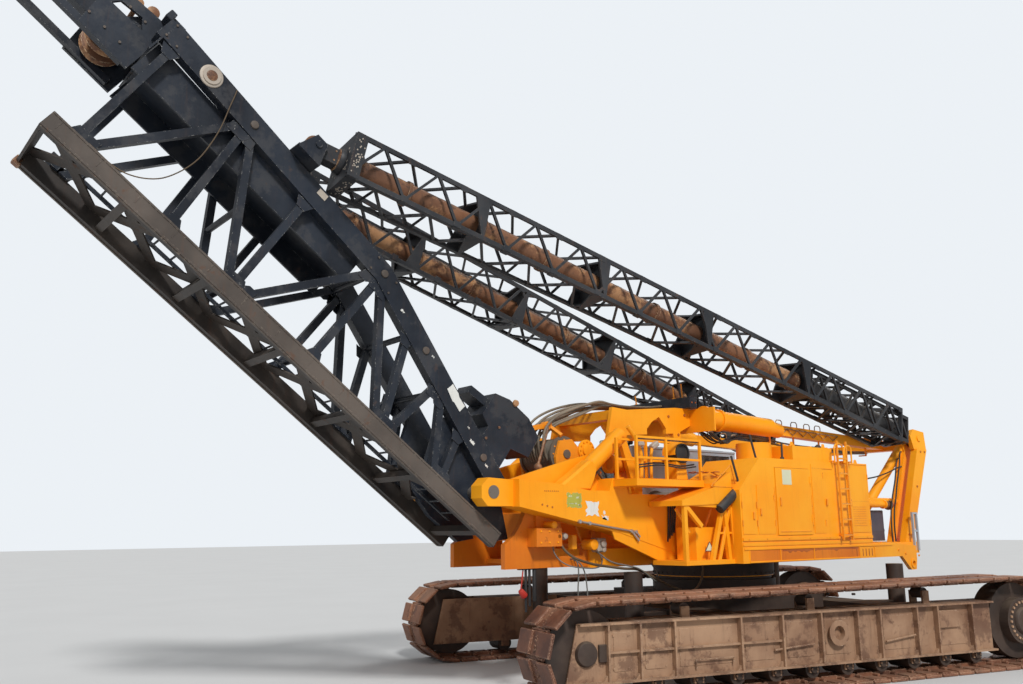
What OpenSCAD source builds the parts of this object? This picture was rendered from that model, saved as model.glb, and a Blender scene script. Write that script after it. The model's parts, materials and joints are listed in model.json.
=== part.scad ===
// Crawler crane base carrying a leaning piling leader on two caged backstays.
// The upper works lie along X with the leader forward, Y is the machine's left,
// Z is up and the ground is at zero. The running gear is turned about the
// slewing axis, as the machine was parked. The middle of the whole is at X zero.

/* [Running gear] */
// turn of the running gear under the upper works, degrees
gear_turn = -13.8; // [-60:0.1:60]
// slewing axis, from the zero line of the upper works
axis_x = -73; // [-300:1:300]
// half of the distance between the two track centres
gauge_half = 2279; // [2150:1:2800]
// width of one track shoe
shoe_w = 868; // [700:2:1000]
// height of the track at its rear drive wheel
track_h = 1300; // [1250:5:1340]
// height of the track at its front idler
idler_h = 1220; // [1180:5:1300]
// distance from the slewing axis to the front of the shoes
track_reach = 4280; // [4100:5:4600]
// number of shoes in one track
shoe_count = 58; // [50:1:64]
// thickness of a shoe outside the pitch line
shoe_out = 70; // [60:1:90]
// depth of the chain inside the pitch line
chain_in = 35; // [20:1:60]
// gap between two shoes
shoe_gap = 28; // [14:1:50]
// depth of the channel between the two pads of a shoe
pad_drop = 24; // [10:1:40]
// half width of that channel
channel_half = 95; // [50:1:150]
// half width of the side frame's box
box_half = 190; // [160:1:230]
// thickness of the side frame's plates
frame_t = 25; // [15:1:40]
// how far the flanges and ribs stand out
flange_out = 85; // [40:1:110]
// bottom of the side frame
frame_lo = 267; // [240:1:320]
// top of the side frame
frame_hi = 955; // [880:1:1000]
// radius of the lower rollers
roller_r = 118; // [80:1:140]
// spacing of the lower rollers
roller_pitch = 600; // [500:5:640]
// number of lower rollers on each side
roller_count = 10; // [6:1:10]
// radius of the slewing ring
ring_r = 860; // [700:5:950]
// top of the lower half of the slewing ring
ring_z = 1320; // [1280:1:1400]
// place of the carbody jacks along the tracks
jack_x = 2350; // [2100:5:2700]
// place of the carbody jacks across
jack_y = 1440; // [1300:5:1500]
// how far the jack feet come down
jack_stroke = 540; // [200:5:540]

/* [Upper works] */
// half width over the machine house
house_half = 1720; // [1600:5:1900]
// underside of the revolving frame
deck_lo = 1540; // [1500:5:1640]
// top of the revolving frame
deck_hi = 1780; // [1740:5:1800]
// underside of the side decks
fascia_lo = 1560; // [1520:5:1700]
// rear end of the revolving frame
deck_rear = -3340; // [-3500:5:-3330]
// roof of the machine house
roof_z = 3010; // [2800:5:3150]
// front wall of the machine house
house_front = 1330; // [1000:5:1340]
// rear wall of the machine house
house_rear = -1870; // [-1950:5:-1500]
// inner wall of the machine house
house_in = 760; // [700:5:900]
// sheet thickness of house and cab
sheet = 30; // [15:1:50]
// front end of the box arms that carry the leader
arm_front = 4600; // [4500:5:4700]
// inner face of each box arm
arm_in = 640; // [636:1:680]
// outer face of each box arm
arm_out = 980; // [850:5:990]

/* [Cab] */
// rear wall of the cab
cab_rear = -1750; // [-1850:5:-1600]
// front wall of the cab
cab_front = 850; // [700:5:1100]
// inner side wall of the cab
cab_in = 780; // [760:5:900]
// floor of the cab
cab_lo = 1960; // [1900:5:2050]
// roof of the cab
cab_hi = 3370; // [3200:5:3375]

/* [Leader] */
// lean of the leader above the horizontal, degrees
lean = 37.0; // [34:0.1:40]
// how far the leader can be lowered from there, degrees
tilt_range = 15; // [5:1:15]
// leader foot, forward of the upper works' zero line
foot_x = 4724; // [4700:1:4760]
// leader foot above the ground
foot_z = 1836; // [1800:1:1900]
// leader hinge along the leader, from the foot
hinge_u = 540; // [500:5:600]
// leader hinge behind the rail face
hinge_w = 420; // [390:5:450]
// radius of the hinge pins
hinge_r = 80; // [50:1:90]
// length of the guide rails
rail_len = 6800; // [6720:10:7000]
// outer face of the guide rails from the middle
rail_half = 615; // [590:5:620]
// width of one guide rail
rail_w = 115; // [80:1:120]
// depth of the guide rails
rail_d = 200; // [150:5:230]
// outer face of the back chords from the middle
chord_half = 560; // [520:5:580]
// width of a back chord
chord_w = 140; // [100:2:150]
// depth of a back chord
chord_d = 270; // [200:5:280]
// end of the upper box beams along the leader
head_u = 8600; // [8000:10:9500]
// width of a side brace
brace_w = 90; // [50:2:120]
// radius of the pin holes at the leader's upper end
end_hole_r = 40; // [20:1:60]

/* [Backstays] */
// rear pin, behind the upper works' zero line
pin_x = -3874; // [-3950:1:-3850]
// rear pin, out from the middle
pin_y = 1415; // [1400:1:1450]
// rear pin above the ground
pin_z = 3523; // [3500:1:3600]
// upper pin along the leader
knuckle_u = 4804; // [4700:1:4900]
// upper pin behind the rail face
knuckle_w = 2083; // [2070:1:2150]
// upper pin, out from the middle
knuckle_y = 623; // [600:1:640]
// radius of the rear pins
pin_r = 50; // [30:1:60]
// radius of the upper pins
knuckle_r = 40; // [25:1:44]
// side of the square lattice cage
cage = 600; // [560:5:604]
// side of the inner lattice cage
cage_in = 470; // [440:5:480]
// depth of a cage chord
chord_t = 60; // [30:1:70]
// thickness of the cage faces
cage_t = 30; // [15:1:32]
// radius of the inner tube
tube_r = 138; // [110:1:140]
// radius of the cylinder barrel
barrel_r = 166; // [160:1:172]
// length of the barrel from the rear pin
barrel_len = 3000; // [2600:10:3060]
// bays in the outer cage
cage_bays = 14; // [8:1:20]

/* [Hidden] */
$fn = 40;
yellow = [0.95, 0.62, 0.08];
rust = [0.45, 0.28, 0.2];
black = [0.12, 0.13, 0.15];
grey = [0.7, 0.72, 0.74];
pale = [0.5, 0.6, 0.65, 0.5];
// clearance between a piece and its seat
seat = 0.3;
// gap around a door
door_gap = 5;

// how far joined pieces run into each other, and cuts run past a face
over = 1;

// Helpers
module box(a, b) translate(a) cube(b - a);
// box across the middle plane
module slab(x0, x1, half, z0, z1) box([x0, -half, z0], [x1, half, z1]);
module pair() { children(); mirror([0, 1, 0]) children(); }
module plate(pts, y0, t) translate([0, y0 + t, 0]) rotate([90, 0, 0]) linear_extrude(t) polygon(pts);
module bar(a, b, w, h) {
    d = b - a;
    n = norm(d);
    translate(a) rotate([0, -asin(d[2] / n), atan2(d[1], d[0])])
        translate([0, -w / 2, -h / 2]) cube([n, w, h]);
}
module rod(a, b, r) {
    d = b - a;
    n = norm(d);
    translate(a) rotate([0, 90 - asin(d[2] / n), atan2(d[1], d[0])]) cylinder(r = r, h = n);
}
module axle(x, z, r, y0, y1) translate([x, y0, z]) rotate([-90, 0, 0]) cylinder(r = r, h = y1 - y0);
module slat(a, b, w) {
    d = b - a;
    translate(a) rotate(atan2(d[1], d[0])) translate([0, -w / 2]) square([norm(d), w]);
}

// Placing: the middle of the whole lies at X zero
end_w = 1230;
rear_reach = track_reach * cos(gear_turn) + (gauge_half + shoe_w / 2) * abs(sin(gear_turn)) - axis_x;
fore_reach = foot_x + head_u * cos(lean) - end_w * sin(lean);
mid_x = (fore_reach - rear_reach) / 2;
module upper() translate([-mid_x, 0, 0]) children();
module lower() translate([axis_x - mid_x, 0, 0]) rotate([0, 0, gear_turn]) children();

// Track loop: pitch line around the idler in front and the drive wheel behind
idler_r = idler_h / 2 - shoe_out;
drive_r = track_h / 2 - shoe_out;
idler_x = track_reach - idler_h / 2;
drive_x = track_reach - track_h / 2;
bottom_run = idler_x + drive_x;
idler_run = PI * idler_r;
rise = 2 * (drive_r - idler_r);
top_run = norm([bottom_run, rise]);
drive_run = PI * drive_r;
loop = bottom_run + idler_run + top_run + drive_run;
deg = 180 / PI;
// point on the pitch line at distance s, and the heading of its outside
function at(s) = s < bottom_run ? [s - drive_x, shoe_out, -90]
    : s < bottom_run + idler_run
    ? let (a = (s - bottom_run) / idler_r * deg - 90)
      [idler_x + idler_r * cos(a), shoe_out + idler_r + idler_r * sin(a), a]
    : s < bottom_run + idler_run + top_run
    ? let (t = (s - bottom_run - idler_run) / top_run)
      [idler_x - t * bottom_run, shoe_out + 2 * idler_r + t * rise, 90]
    : let (a = (s - bottom_run - idler_run - top_run) / drive_r * deg + 90)
      [drive_r * cos(a) - drive_x, shoe_out + drive_r + drive_r * sin(a), a];
function off(s, d) = let (p = at(s)) [p[0] + d * cos(p[2]), p[1] + d * sin(p[2])];
pitch = loop / shoe_count;
function shoes(hi, lo, gap) = [for (k = [0:shoe_count - 1])
    each [off(k * pitch + gap / 2, lo), off(k * pitch + gap / 2, hi),
          off((k + 1) * pitch - gap / 2, hi), off((k + 1) * pitch - gap / 2, lo)]];
// straight steps in each end's arc
arc_steps = 10;
// share of an arc at which its last step ends, so that no two points coincide
arc_end = 0.9999;
// share of the radius that a straight step of the chain leaves clear
chord_share = cos(90 / arc_steps);
function inner_edge(d) = concat(
    [for (k = [0:arc_steps]) off(bottom_run + k * idler_run / arc_steps * arc_end, d)],
    [for (k = [0:arc_steps]) off(bottom_run + idler_run + top_run + k * drive_run / arc_steps * arc_end,
                                 d)]);
module belt(y0, y1, hi, lo, gap, d)
    translate([0, y1, 0]) rotate([90, 0, 0]) linear_extrude(y1 - y0) difference() {
        polygon(shoes(hi, lo, gap));
        polygon(inner_edge(d));
    }
// height above the pitch line at which two shoes part
web = 22;
module track() color(rust) {
    for (s = [-1, 1]) {
        y = gauge_half + s * (shoe_w / 2 + channel_half) / 2;
        h = (shoe_w / 2 - channel_half) / 2;
        belt(y - h, y + h, shoe_out, web, shoe_gap, 0);
    }
    belt(gauge_half - channel_half, gauge_half + channel_half, shoe_out - pad_drop, web, shoe_gap,
         -chain_in);
}
module track_left() lower() track();
module track_right() lower() mirror([0, 1, 0]) track();

// Side frames: two long plates with a box beam, ribs and rollers between
chain_z = shoe_out + chain_in;
side_y = box_half + frame_t;
rib_y = side_y + flange_out;
roller_room = 12;
wheel_room = 10;
beam_lo = chain_z + 2 * roller_r + roller_room;
beam_rear = -drive_x + drive_r + wheel_room;
beam_front = idler_x - idler_r - wheel_room;
// how far the plates run past the idler's axle, below and above
nose_lo = 270;
nose_hi = 110;
// places of the ribs, front first: behind the idler, from the slewing axis, and before the drive
front_ribs = [270, 710, 1200, 2190];
mid_ribs = [820, 180, -450, -850];
rear_ribs = [2100, 1710, 1030];
rib_x = concat([for (d = front_ribs) idler_x - d], mid_ribs, [for (d = rear_ribs) d - drive_x]);
// the rib that ends the mid rib of the front cells, and the mid rib's place
front_cells = 4;
mid_rib_z = 600;
mid_rib_in = 30;
// round tube through the frame
bush_x = -100;
bush_z = 660;
bush_r = 130;
bush_bore = 90;
// case of the drive
case_r = 330;
case_room = 10;
// ears of the lower rollers and of the carrier rollers
ear_half = 70;
ear_lap = 45;
carrier_ear = 60;
carrier_ear_y = 110;
carrier_ear_t = 18;
carrier_lap = 30;
roller_z = chain_z + roller_r + seat;
carrier_r = 75;
carrier_half = 92;
carrier_x = [-1900, 200, 2200];
function chain_top(x) = shoe_out + 2 * idler_r + (idler_x - x) / bottom_run * rise - chain_in;
function roller_x(k) = (k - (roller_count - 1) / 2) * roller_pitch;
module side_plate(x0) plate([[x0, frame_lo], [idler_x + nose_lo, frame_lo], [idler_x + nose_hi, frame_hi],
                             [x0, frame_hi]], box_half, frame_t);
module side_frame() color(rust) translate([0, gauge_half, 0]) {
    difference() {
        slab(beam_rear, beam_front, box_half, beam_lo, frame_hi);
        axle(bush_x, bush_z, bush_bore, -box_half - over, box_half + over);
    }
    difference() {
        side_plate(beam_rear);
        axle(bush_x, bush_z, bush_bore, 0, side_y + over);
    }
    mirror([0, 1, 0]) {
        side_plate(-drive_x);
        axle(-drive_x, shoe_out + drive_r, case_r + case_room, box_half, side_y);
    }
    // flanges, ribs and the mid rib of the front cells
    box([beam_rear, side_y, frame_lo], [idler_x + nose_lo, rib_y, frame_lo + frame_t]);
    box([beam_rear, side_y, frame_hi - frame_t], [idler_x + nose_hi, rib_y, frame_hi]);
    for (x = rib_x) box([x - frame_t / 2, side_y, frame_lo], [x + frame_t / 2, rib_y, frame_hi]);
    box([rib_x[front_cells], side_y, mid_rib_z], [rib_x[0], rib_y - mid_rib_in, mid_rib_z + frame_t]);
    difference() {
        axle(bush_x, bush_z, bush_r, box_half, rib_y);
        axle(bush_x, bush_z, bush_bore, box_half - over, rib_y + over);
    }
    for (k = [0:roller_count - 1], s = [-1, 1]) {
        x = roller_x(k);
        y = s * (box_half + frame_t / 2);
        box([x - ear_half, y - frame_t / 2, roller_z - ear_lap],
            [x + ear_half, y + frame_t / 2, frame_lo + over]);
    }
    for (x = carrier_x, s = [-1, 1]) {
        y = s * carrier_ear_y;
        box([x - carrier_ear, y - carrier_ear_t, frame_hi - over],
            [x + carrier_ear, y + carrier_ear_t, chain_top(x) - carrier_r + carrier_lap]);
    }
}
module frame_left() lower() side_frame();
module frame_right() lower() mirror([0, 1, 0]) side_frame();

hub_half = 150;
idler_axle_r = 110;
module wheels() color(rust) translate([0, gauge_half, 0]) {
    idler_z = shoe_out + idler_r;
    drive_z = shoe_out + drive_r;
    axle(idler_x, idler_z, (idler_r - chain_in) * chord_share - seat, -hub_half, hub_half);
    axle(idler_x, idler_z, idler_axle_r, -box_half + seat, box_half - seat);
    axle(-drive_x, drive_z, (drive_r - chain_in) * chord_share - seat, -hub_half, hub_half);
    axle(-drive_x, drive_z, case_r, -box_half + seat, rib_y);
    for (k = [0:roller_count - 1]) axle(roller_x(k), roller_z, roller_r, -box_half + seat, box_half - seat);
    for (x = carrier_x) axle(x, chain_top(x) - carrier_r - over, carrier_r, -carrier_half + seat,
                             carrier_half - seat);
}
module wheels_left() lower() wheels();
module wheels_right() lower() mirror([0, 1, 0]) wheels();

// Carbody: centre box, two cross beams, ring seat and four jack arms
hull_half = 1150;
hull_lo = 430;
hull_hi = 1100;
cross_x = 1450;
cross_half = 290;
cross_hi = 950;
beam_y = gauge_half - side_y - seat;
// how far the ring seat's skirt and wall stand out from the ring, and how far the skirt stays below its top
skirt_out = 90;
wall_out = 30;
skirt_drop = 40;
// jack arms: root, height, width and depth
jack_root = [1600, 1150];
jack_arm_z = 780;
jack_arm_w = 170;
jack_arm_h = 300;
// jack barrels
jack_r = 125;
jack_lo = 620;
jack_hi = 1470;
jack_cap = 40;
jack_rod_r = 80;
jack_rod_len = 700;
jack_foot_r = 110;
jack_foot_t = 40;
foot_lo = 560;
module carbody() color(rust) lower() {
    slab(-hull_half, hull_half, hull_half, hull_lo, hull_hi);
    for (x = [-cross_x, cross_x]) slab(x - cross_half, x + cross_half, beam_y, hull_lo, cross_hi);
    translate([0, 0, hull_hi - over]) cylinder(r = ring_r + skirt_out, h = ring_z - hull_hi - skirt_drop);
    translate([0, 0, hull_hi]) cylinder(r = ring_r + wall_out, h = ring_z - hull_hi);
    for (sx = [-1, 1], sy = [-1, 1]) difference() {
        union() {
            translate([sx * jack_x, sy * jack_y, jack_lo]) cylinder(r = jack_r, h = jack_hi - jack_lo);
            bar([sx * jack_root[0], sy * jack_root[1], jack_arm_z], [sx * jack_x, sy * jack_y, jack_arm_z],
                jack_arm_w, jack_arm_h);
        }
        translate([sx * jack_x, sy * jack_y, jack_lo - over])
            cylinder(r = jack_rod_r + seat, h = jack_hi - jack_lo - jack_cap + over);
    }
}
module jack(sx, sy) color(grey) lower() translate([sx * jack_x, sy * jack_y, 0]) {
    translate([0, 0, foot_lo + jack_foot_t / 2]) cylinder(r = jack_rod_r, h = jack_rod_len);
    translate([0, 0, foot_lo]) cylinder(r = jack_foot_r, h = jack_foot_t);
}
module jack_front_left() jack(1, 1);
module jack_front_right() jack(1, -1);
module jack_rear_left() jack(-1, 1);
module jack_rear_right() jack(-1, -1);

// Revolving frame
mouth_x = house_front + 20;
deck_front = 3150;
spine_half = 950;
deck_lap = 10;
// rear end of the side decks, and how much higher the rear decks' underside lies
bay_x = -2470;
bay_rise = 40;
gusset_y = house_half - 60;
gusset_t = 60;
// pin hole of the rear gussets
counter_x = -3020;
counter_z = 1440;
counter_r = 40;
gusset_pts = [[bay_x, fascia_lo], [bay_x - 230, fascia_lo], [counter_x + 70, counter_z - 100],
              [counter_x - 80, counter_z - 100], [counter_x - 120, counter_z + 60],
              [counter_x - 120, deck_hi - 60], [bay_x, deck_hi]];
module deck() color(yellow) upper() {
    slab(deck_rear, mouth_x, spine_half, deck_lo, deck_hi);
    slab(mouth_x - over, deck_front, arm_in - seat, deck_lo, deck_hi);
    translate([axis_x, 0, ring_z + seat]) cylinder(r = ring_r + 2 * wall_out,
                                                   h = deck_lo - ring_z + deck_lap);
    pair() {
        box([bay_x, spine_half - deck_lap, fascia_lo], [house_front, house_half, deck_hi]);
        box([deck_rear, spine_half - deck_lap, fascia_lo + bay_rise],
            [bay_x + deck_lap, gusset_y, deck_hi]);
        difference() {
            plate(gusset_pts, gusset_y, gusset_t);
            axle(counter_x, counter_z, counter_r, gusset_y - over, house_half + over);
        }
    }
}

// Machine house on the left: side outline and its inner outline
hip_drop = 460;
hip_run = 470;
hip_wall = 11;
side_pts = [[house_rear, deck_hi], [house_front, deck_hi], [house_front, roof_z - hip_drop],
            [house_front - hip_run, roof_z], [house_rear, roof_z]];
inset_pts = [[house_rear + sheet, deck_hi + sheet], [house_front - sheet, deck_hi + sheet],
             [house_front - sheet, roof_z - hip_drop - hip_wall],
             [house_front - hip_run - hip_wall, roof_z - sheet], [house_rear + sheet, roof_z - sheet]];
// door in the side wall
door_x0 = -300;
door_x1 = 520;
door_z0 = deck_hi + 150;
door_z1 = roof_z - 130;
door_out = 12;
// hinge knuckles: height above the door's foot, how far out, radius, length and lug
hinge_zs = [180, 740];
hinge_out = 14;
hinge_b = 12;
hinge_len = 100;
hinge_lug = 40;
hinge_lap = 26;
hinge_in = 2;
// raised panels of the side wall: from and to along, top below the roof
panels = [[house_rear + 30, house_rear + 590, 50], [door_x0 - 340, door_x0 - 60, 50],
          [door_x1 + 60, door_x1 + 440, 390], [house_front - 330, house_front - 30, 510]];
panel_lo = deck_hi + 170;
panel_t = 8;
// seam strips of the side wall: from and to above the deck, thickness
seams = [[80, 120, 18], [10, 50, 10]];
seam_in = 10;
// raised roof box and round cowl
roof_box_x = [-1000, 0];
roof_box_y = [80, 40];
roof_box_h = 210;
cowl_x = 350;
cowl_y = 1250;
cowl_r = 260;
cowl_h = 230;
// sloping hood over the recess in front of the house
recess_y = arm_out + 5;
hood_w = 600;
hood_pts = [[house_front - over, 2370], [2350, 2330], [2350, 2400], [2000, 2500], [1690, 2585],
            [1680, 2640],
            [house_front - over, 2800]];
// floor of the recess and the box that stands on it
recess_x1 = 2310;
recess_y1 = 1580;
recess_t = 60;
tank_x = [1450, 1900];
tank_y = [1050, 1400];
tank_hi = 2050;
// braces in the recess: along and up at each end, and how far out
brace_z = fascia_lo + 40;
recess_bars = [[2270, brace_z, 2270, 2370, 1520], [2250, 2330, 1950, 2060, 1520],
               [1480, 2390, 1760, brace_z, 1520], [1480, 2390, 1400, brace_z, 1520]];
recess_bar_t = 50;
recess_bar_w = 60;
module house_left() color(yellow) upper() {
    difference() {
        plate(side_pts, house_in, house_half - house_in);
        plate(inset_pts, house_in + sheet, house_half - house_in - 2 * sheet);
        box([door_x0 - door_gap, house_half - sheet - over, door_z0 - door_gap],
            [door_x1 + door_gap, house_half + over, door_z1 + door_gap]);
    }
    for (p = panels) box([p[0], house_half - over, panel_lo], [p[1], house_half + panel_t, roof_z - p[2]]);
    for (s = seams) box([house_rear + seam_in, house_half - over, deck_hi + s[0]],
                        [house_front - seam_in, house_half + s[2], deck_hi + s[1]]);
    box([roof_box_x[0], house_in + roof_box_y[0], roof_z - over],
        [roof_box_x[1], house_half - roof_box_y[1], roof_z + roof_box_h]);
    translate([cowl_x, cowl_y, roof_z - over]) cylinder(r = cowl_r, h = cowl_h);
    for (z = hinge_zs)
        box([door_x0 - hinge_lap, house_half - over, door_z0 + z - hinge_lug],
            [door_x0 - door_gap, house_half + hinge_out, door_z0 + z - seat]);
    plate(hood_pts, recess_y, hood_w);
    for (b = recess_bars) translate([0, b[4] + recess_bar_t, 0]) rotate([90, 0,
        0]) linear_extrude(recess_bar_t)
        slat([b[0], b[1]], [b[2], b[3]], recess_bar_w);
    box([tank_x[0], tank_y[0], fascia_lo + recess_t - over], [tank_x[1], tank_y[1], tank_hi]);
    box([house_front + seat, recess_y, fascia_lo], [recess_x1, recess_y1, fascia_lo + recess_t]);
}
module house_door() color(yellow) upper() {
    box([door_x0, house_half - sheet, door_z0], [door_x1, house_half + door_out, door_z1]);
    for (z = hinge_zs)
        translate([door_x0 - hinge_in, house_half + hinge_out, door_z0 + z]) cylinder(r = hinge_b,
            h = hinge_len);
}
// the engine's block: behind and before the house's rear wall, room beside it and above it
engine_x = [270, 1470];
engine_room = [150, 170, 260];
module engine_block() color(grey) upper()
    box([house_rear + engine_x[0], house_in + engine_room[0], deck_hi + sheet + seat],
        [house_rear + engine_x[1], house_half - engine_room[1], roof_z - engine_room[2]]);

// Cab on the right: hollow, with its windows cut
cab_y = -house_half;
win_hi = cab_hi - 90;
win_edge = 110;
win_rear = cab_rear + 150;
// sills of the front, inner and outer windows
front_sill = cab_lo + 520;
inner_sill = cab_lo + 1020;
outer_sill = cab_lo + 740;
// front ends of the inner and outer windows
inner_end = cab_rear + 930;
outer_end = cab_rear + 1250;
cab_door_x1 = cab_front - 235;
cab_door_x0 = cab_door_x1 - 870;
cab_door_z0 = cab_lo + 75;
cab_door_z1 = cab_hi - 70;
cab_hinge_z = cab_lo + 100;
cab_door_t = 30;
cab_door_out = 8;
door_rim = 80;
pane_in = 12;
pane_t = 10;
module cab_shell() color(grey) upper() {
    difference() {
        box([cab_rear, cab_y, cab_lo], [cab_front, -cab_in, cab_hi]);
        box([cab_rear + sheet, cab_y + sheet, cab_lo + sheet],
            [cab_front - sheet, -cab_in - sheet, cab_hi - sheet]);
        box([cab_front - sheet - over, cab_y + win_edge, front_sill],
            [cab_front + over, -cab_in - win_edge, win_hi]);
        box([win_rear, -cab_in - sheet - over, inner_sill], [inner_end, -cab_in + over, win_hi]);
        box([win_rear, cab_y - over, outer_sill], [outer_end, cab_y + sheet + over, win_hi]);
        box([cab_door_x0 - door_gap, cab_y - over, cab_door_z0 - door_gap],
            [cab_door_x1 + door_gap, cab_y + sheet + over, cab_door_z1 + door_gap]);
    }
    box([cab_rear, cab_y, deck_hi], [cab_front, -cab_in, cab_lo + over]);
    for (z = hinge_zs)
        box([cab_door_x0 - hinge_lap, cab_y - hinge_out, cab_hinge_z + z - hinge_lug],
            [cab_door_x0 - door_gap, cab_y + over, cab_hinge_z + z - seat]);
}
module cab_glass() color(pale) upper() {
    box([cab_front - pane_in - pane_t, cab_y + win_edge + seat, front_sill + seat],
        [cab_front - pane_in, -cab_in - win_edge - seat, win_hi - seat]);
    box([win_rear + seat, -cab_in - pane_in - pane_t, inner_sill + seat],
        [inner_end - seat, -cab_in - pane_in, win_hi - seat]);
    box([win_rear + seat, cab_y + pane_in, outer_sill + seat],
        [outer_end - seat, cab_y + pane_in + pane_t, win_hi - seat]);
}
door_sill = outer_sill;
module cab_door() color(grey) upper() {
    y0 = cab_y - cab_door_out;
    difference() {
        box([cab_door_x0, y0, cab_door_z0], [cab_door_x1, y0 + cab_door_t, cab_door_z1]);
        box([cab_door_x0 + door_rim, y0 - over, door_sill],
            [cab_door_x1 - door_rim, y0 + cab_door_t + over, cab_door_z1 - door_rim]);
    }
    for (z = hinge_zs)
        translate([cab_door_x0 - hinge_in, cab_y - hinge_out, cab_hinge_z + z]) cylinder(r = hinge_b,
            h = hinge_len);
}
module door_glass() color(pale) upper()
    box([cab_door_x0 + door_rim + seat, cab_y + hinge_in, door_sill + seat],
        [cab_door_x1 - door_rim - seat, cab_y + hinge_in + pane_t, cab_door_z1 - door_rim - seat]);

// Leader hinge, in the frame of the upper works
hinge_x = foot_x + hinge_u * cos(lean) - hinge_w * sin(lean);
hinge_z = foot_z + hinge_u * sin(lean) + hinge_w * cos(lean);

// Box arms that carry the leader: side outline, hump and nose
arm_top = 2535;
arm_pts = [[arm_front, 2320], [arm_front, 2655], [3950, 2610], [3450, arm_top], [3080, arm_top],
           [3020, 2700],
           [2800, 2720], [2600, 2120], [mouth_x + seat, deck_hi + 10], [mouth_x + seat, fascia_lo],
           [2900, 1990], [3080, 2020]];
hump_pts = [[4500, 2600], [4500, 2670], [3500, 2950], [3200, 3020], [2950, 2800], [3000, 2450],
            [3900, 2580]];
hump_t = 60;
nose_pts = [[arm_front - over, 2326], [hinge_x + 88, hinge_z - 170], [hinge_x + 178, hinge_z - 76],
            [hinge_x + 178, hinge_z + 74], [hinge_x + 78, hinge_z + 172], [arm_front - over, 2650]];
nose_w = 220;
module arms() color(yellow) upper() pair() difference() {
    union() {
        plate(arm_pts, arm_in, arm_out - arm_in);
        plate(hump_pts, arm_in, hump_t);
        plate(nose_pts, arm_in, nose_w);
    }
    axle(hinge_x, hinge_z, hinge_r + seat, arm_in - over, arm_in + nose_w + over);
}

// Lower frame between the arms, cut round so that the leader's foot can pass
swing_r = 730;
foot_r = 830;
web_y = 520;
web_t = 80;
web_rear = 2900;
web_front = 4540;
web_lo = 1560;
web_hi = 2280;
// opening in each web
web_window = [[3230, 1700], [3720, 1700], [3720, 2160], [3000, 2160], [3000, 1840], [3230, 1840]];
// boxes outside each web: from and to along, half width reached, from and to in height
web_boxes = [[3760, 4180, 790, 1830, 2060], [3820, 3900, 630, 2059, 2250]];
// cross box and floor plate between the webs: from and to along, from and to in height
cross_box = [3650, 4060, 1900, 2250];
floor_box = [3400, 4000, 1600, 1660];
module front_frame() color(yellow) upper() difference() {
    union() {
        pair() difference() {
            plate([[deck_front + seat, web_lo], [web_front, web_lo], [web_front, web_hi],
                   [web_rear, web_hi],
                   [web_rear, deck_hi + seat], [deck_front + seat, deck_hi + seat]], web_y, web_t);
            plate(web_window, web_y - over, web_t + 2 * over);
        }
        for (b = web_boxes) pair() box([b[0], web_y + web_t - over, b[3]], [b[1], b[2], b[4]]);
        slab(cross_box[0], cross_box[1], arm_in - seat, cross_box[2], cross_box[3]);
        slab(floor_box[0], floor_box[1], web_y + over, floor_box[2], floor_box[3]);
    }
    axle(hinge_x, hinge_z, swing_r, -arm_out, arm_out);
    axle(hinge_x, hinge_z, foot_r, -web_y, web_y);
}

// Front gantry: struts, plates, cross pieces and black beam
mast_y = 570;
mast_t = 60;
mast_top = 3800;
mast_front = 2600;
strut_y = 830;
strut_foot = [3485, 2709];
strut_head = [2698, 3309];
strut_r = 112;
strut_pin_r = 60;
strut_shoe = [3330, 3445, 2780];
shoe_half = 50;
module struts() color(yellow) upper() pair() {
    rod([strut_foot[0], strut_y, strut_foot[1]], [strut_head[0], strut_y, strut_head[1]], strut_r);
    box([strut_shoe[0], strut_y - shoe_half, arm_top + seat],
        [strut_shoe[1], strut_y + shoe_half, strut_shoe[2]]);
    axle(strut_head[0], strut_head[1], strut_pin_r, mast_y + mast_t + seat, strut_y);
}
mast_pts = [[2760, 3200], [2480, 3200], [2360, 3340], [1310, 3420], [1000, 3560], [1000, mast_top],
            [1350, mast_top], [2350, 3700], [2640, 3720]];
// pointed opening in the gantry plate
arch_pts = [[1560, 3300], [1560, 3480], [1700, 3640], [1850, 3560], [1960, 3450], [1960, 3300]];
front_leg = [[2500, 3260], [2380, 3260], [2100, 2600], [2100, deck_hi + seat], [2260, deck_hi + seat],
             [2260, 2560]];
rear_leg = [[1450, 3700], [1300, 3700], [1100, 2600], [1100, deck_hi + seat], [1260, deck_hi + seat],
            [1280, 2560]];
// cross pieces: from and to along, from and to in height
mast_ties = [[2440, 2600, 3560, 3690], [1280, 1440, 3640, 3760]];
// rear plate that the thick tubes meet
tube_x = 1000;
plate_t = 30;
plate_half = 1100;
plate_lo = 3440;
module mast() color(yellow) upper() {
    pair() {
        difference() {
            plate(mast_pts, mast_y, mast_t);
            plate(arch_pts, mast_y - over, mast_t + 2 * over);
        }
        plate(front_leg, mast_y, mast_t);
        plate(rear_leg, mast_y, mast_t);
    }
    for (t = mast_ties) slab(t[0], t[1], mast_y + over, t[2], t[3]);
    slab(tube_x, tube_x + plate_t, plate_half, plate_lo, mast_top - 10);
}
black_beam_x = [1020, 1180];
black_beam_half = 780;
black_beam_h = 165;
module black_beam() color(black) upper()
    slab(black_beam_x[0], black_beam_x[1], black_beam_half, mast_top + seat,
         mast_top + seat + black_beam_h);

// Thick tubes and slim beams that run back to the rear gantry
tube_z = 3640;
tube_y = 860;
top_r = 145;
// rear end of the thick tubes, and how far they drop and spread to it
tube_end = -500;
tube_fall = 60;
tube_spread = 55;
// rings on the tubes: from and to behind their front, how far they stand out
tube_rings = [[0, 50, 42], [300, 340, 25]];
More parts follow.
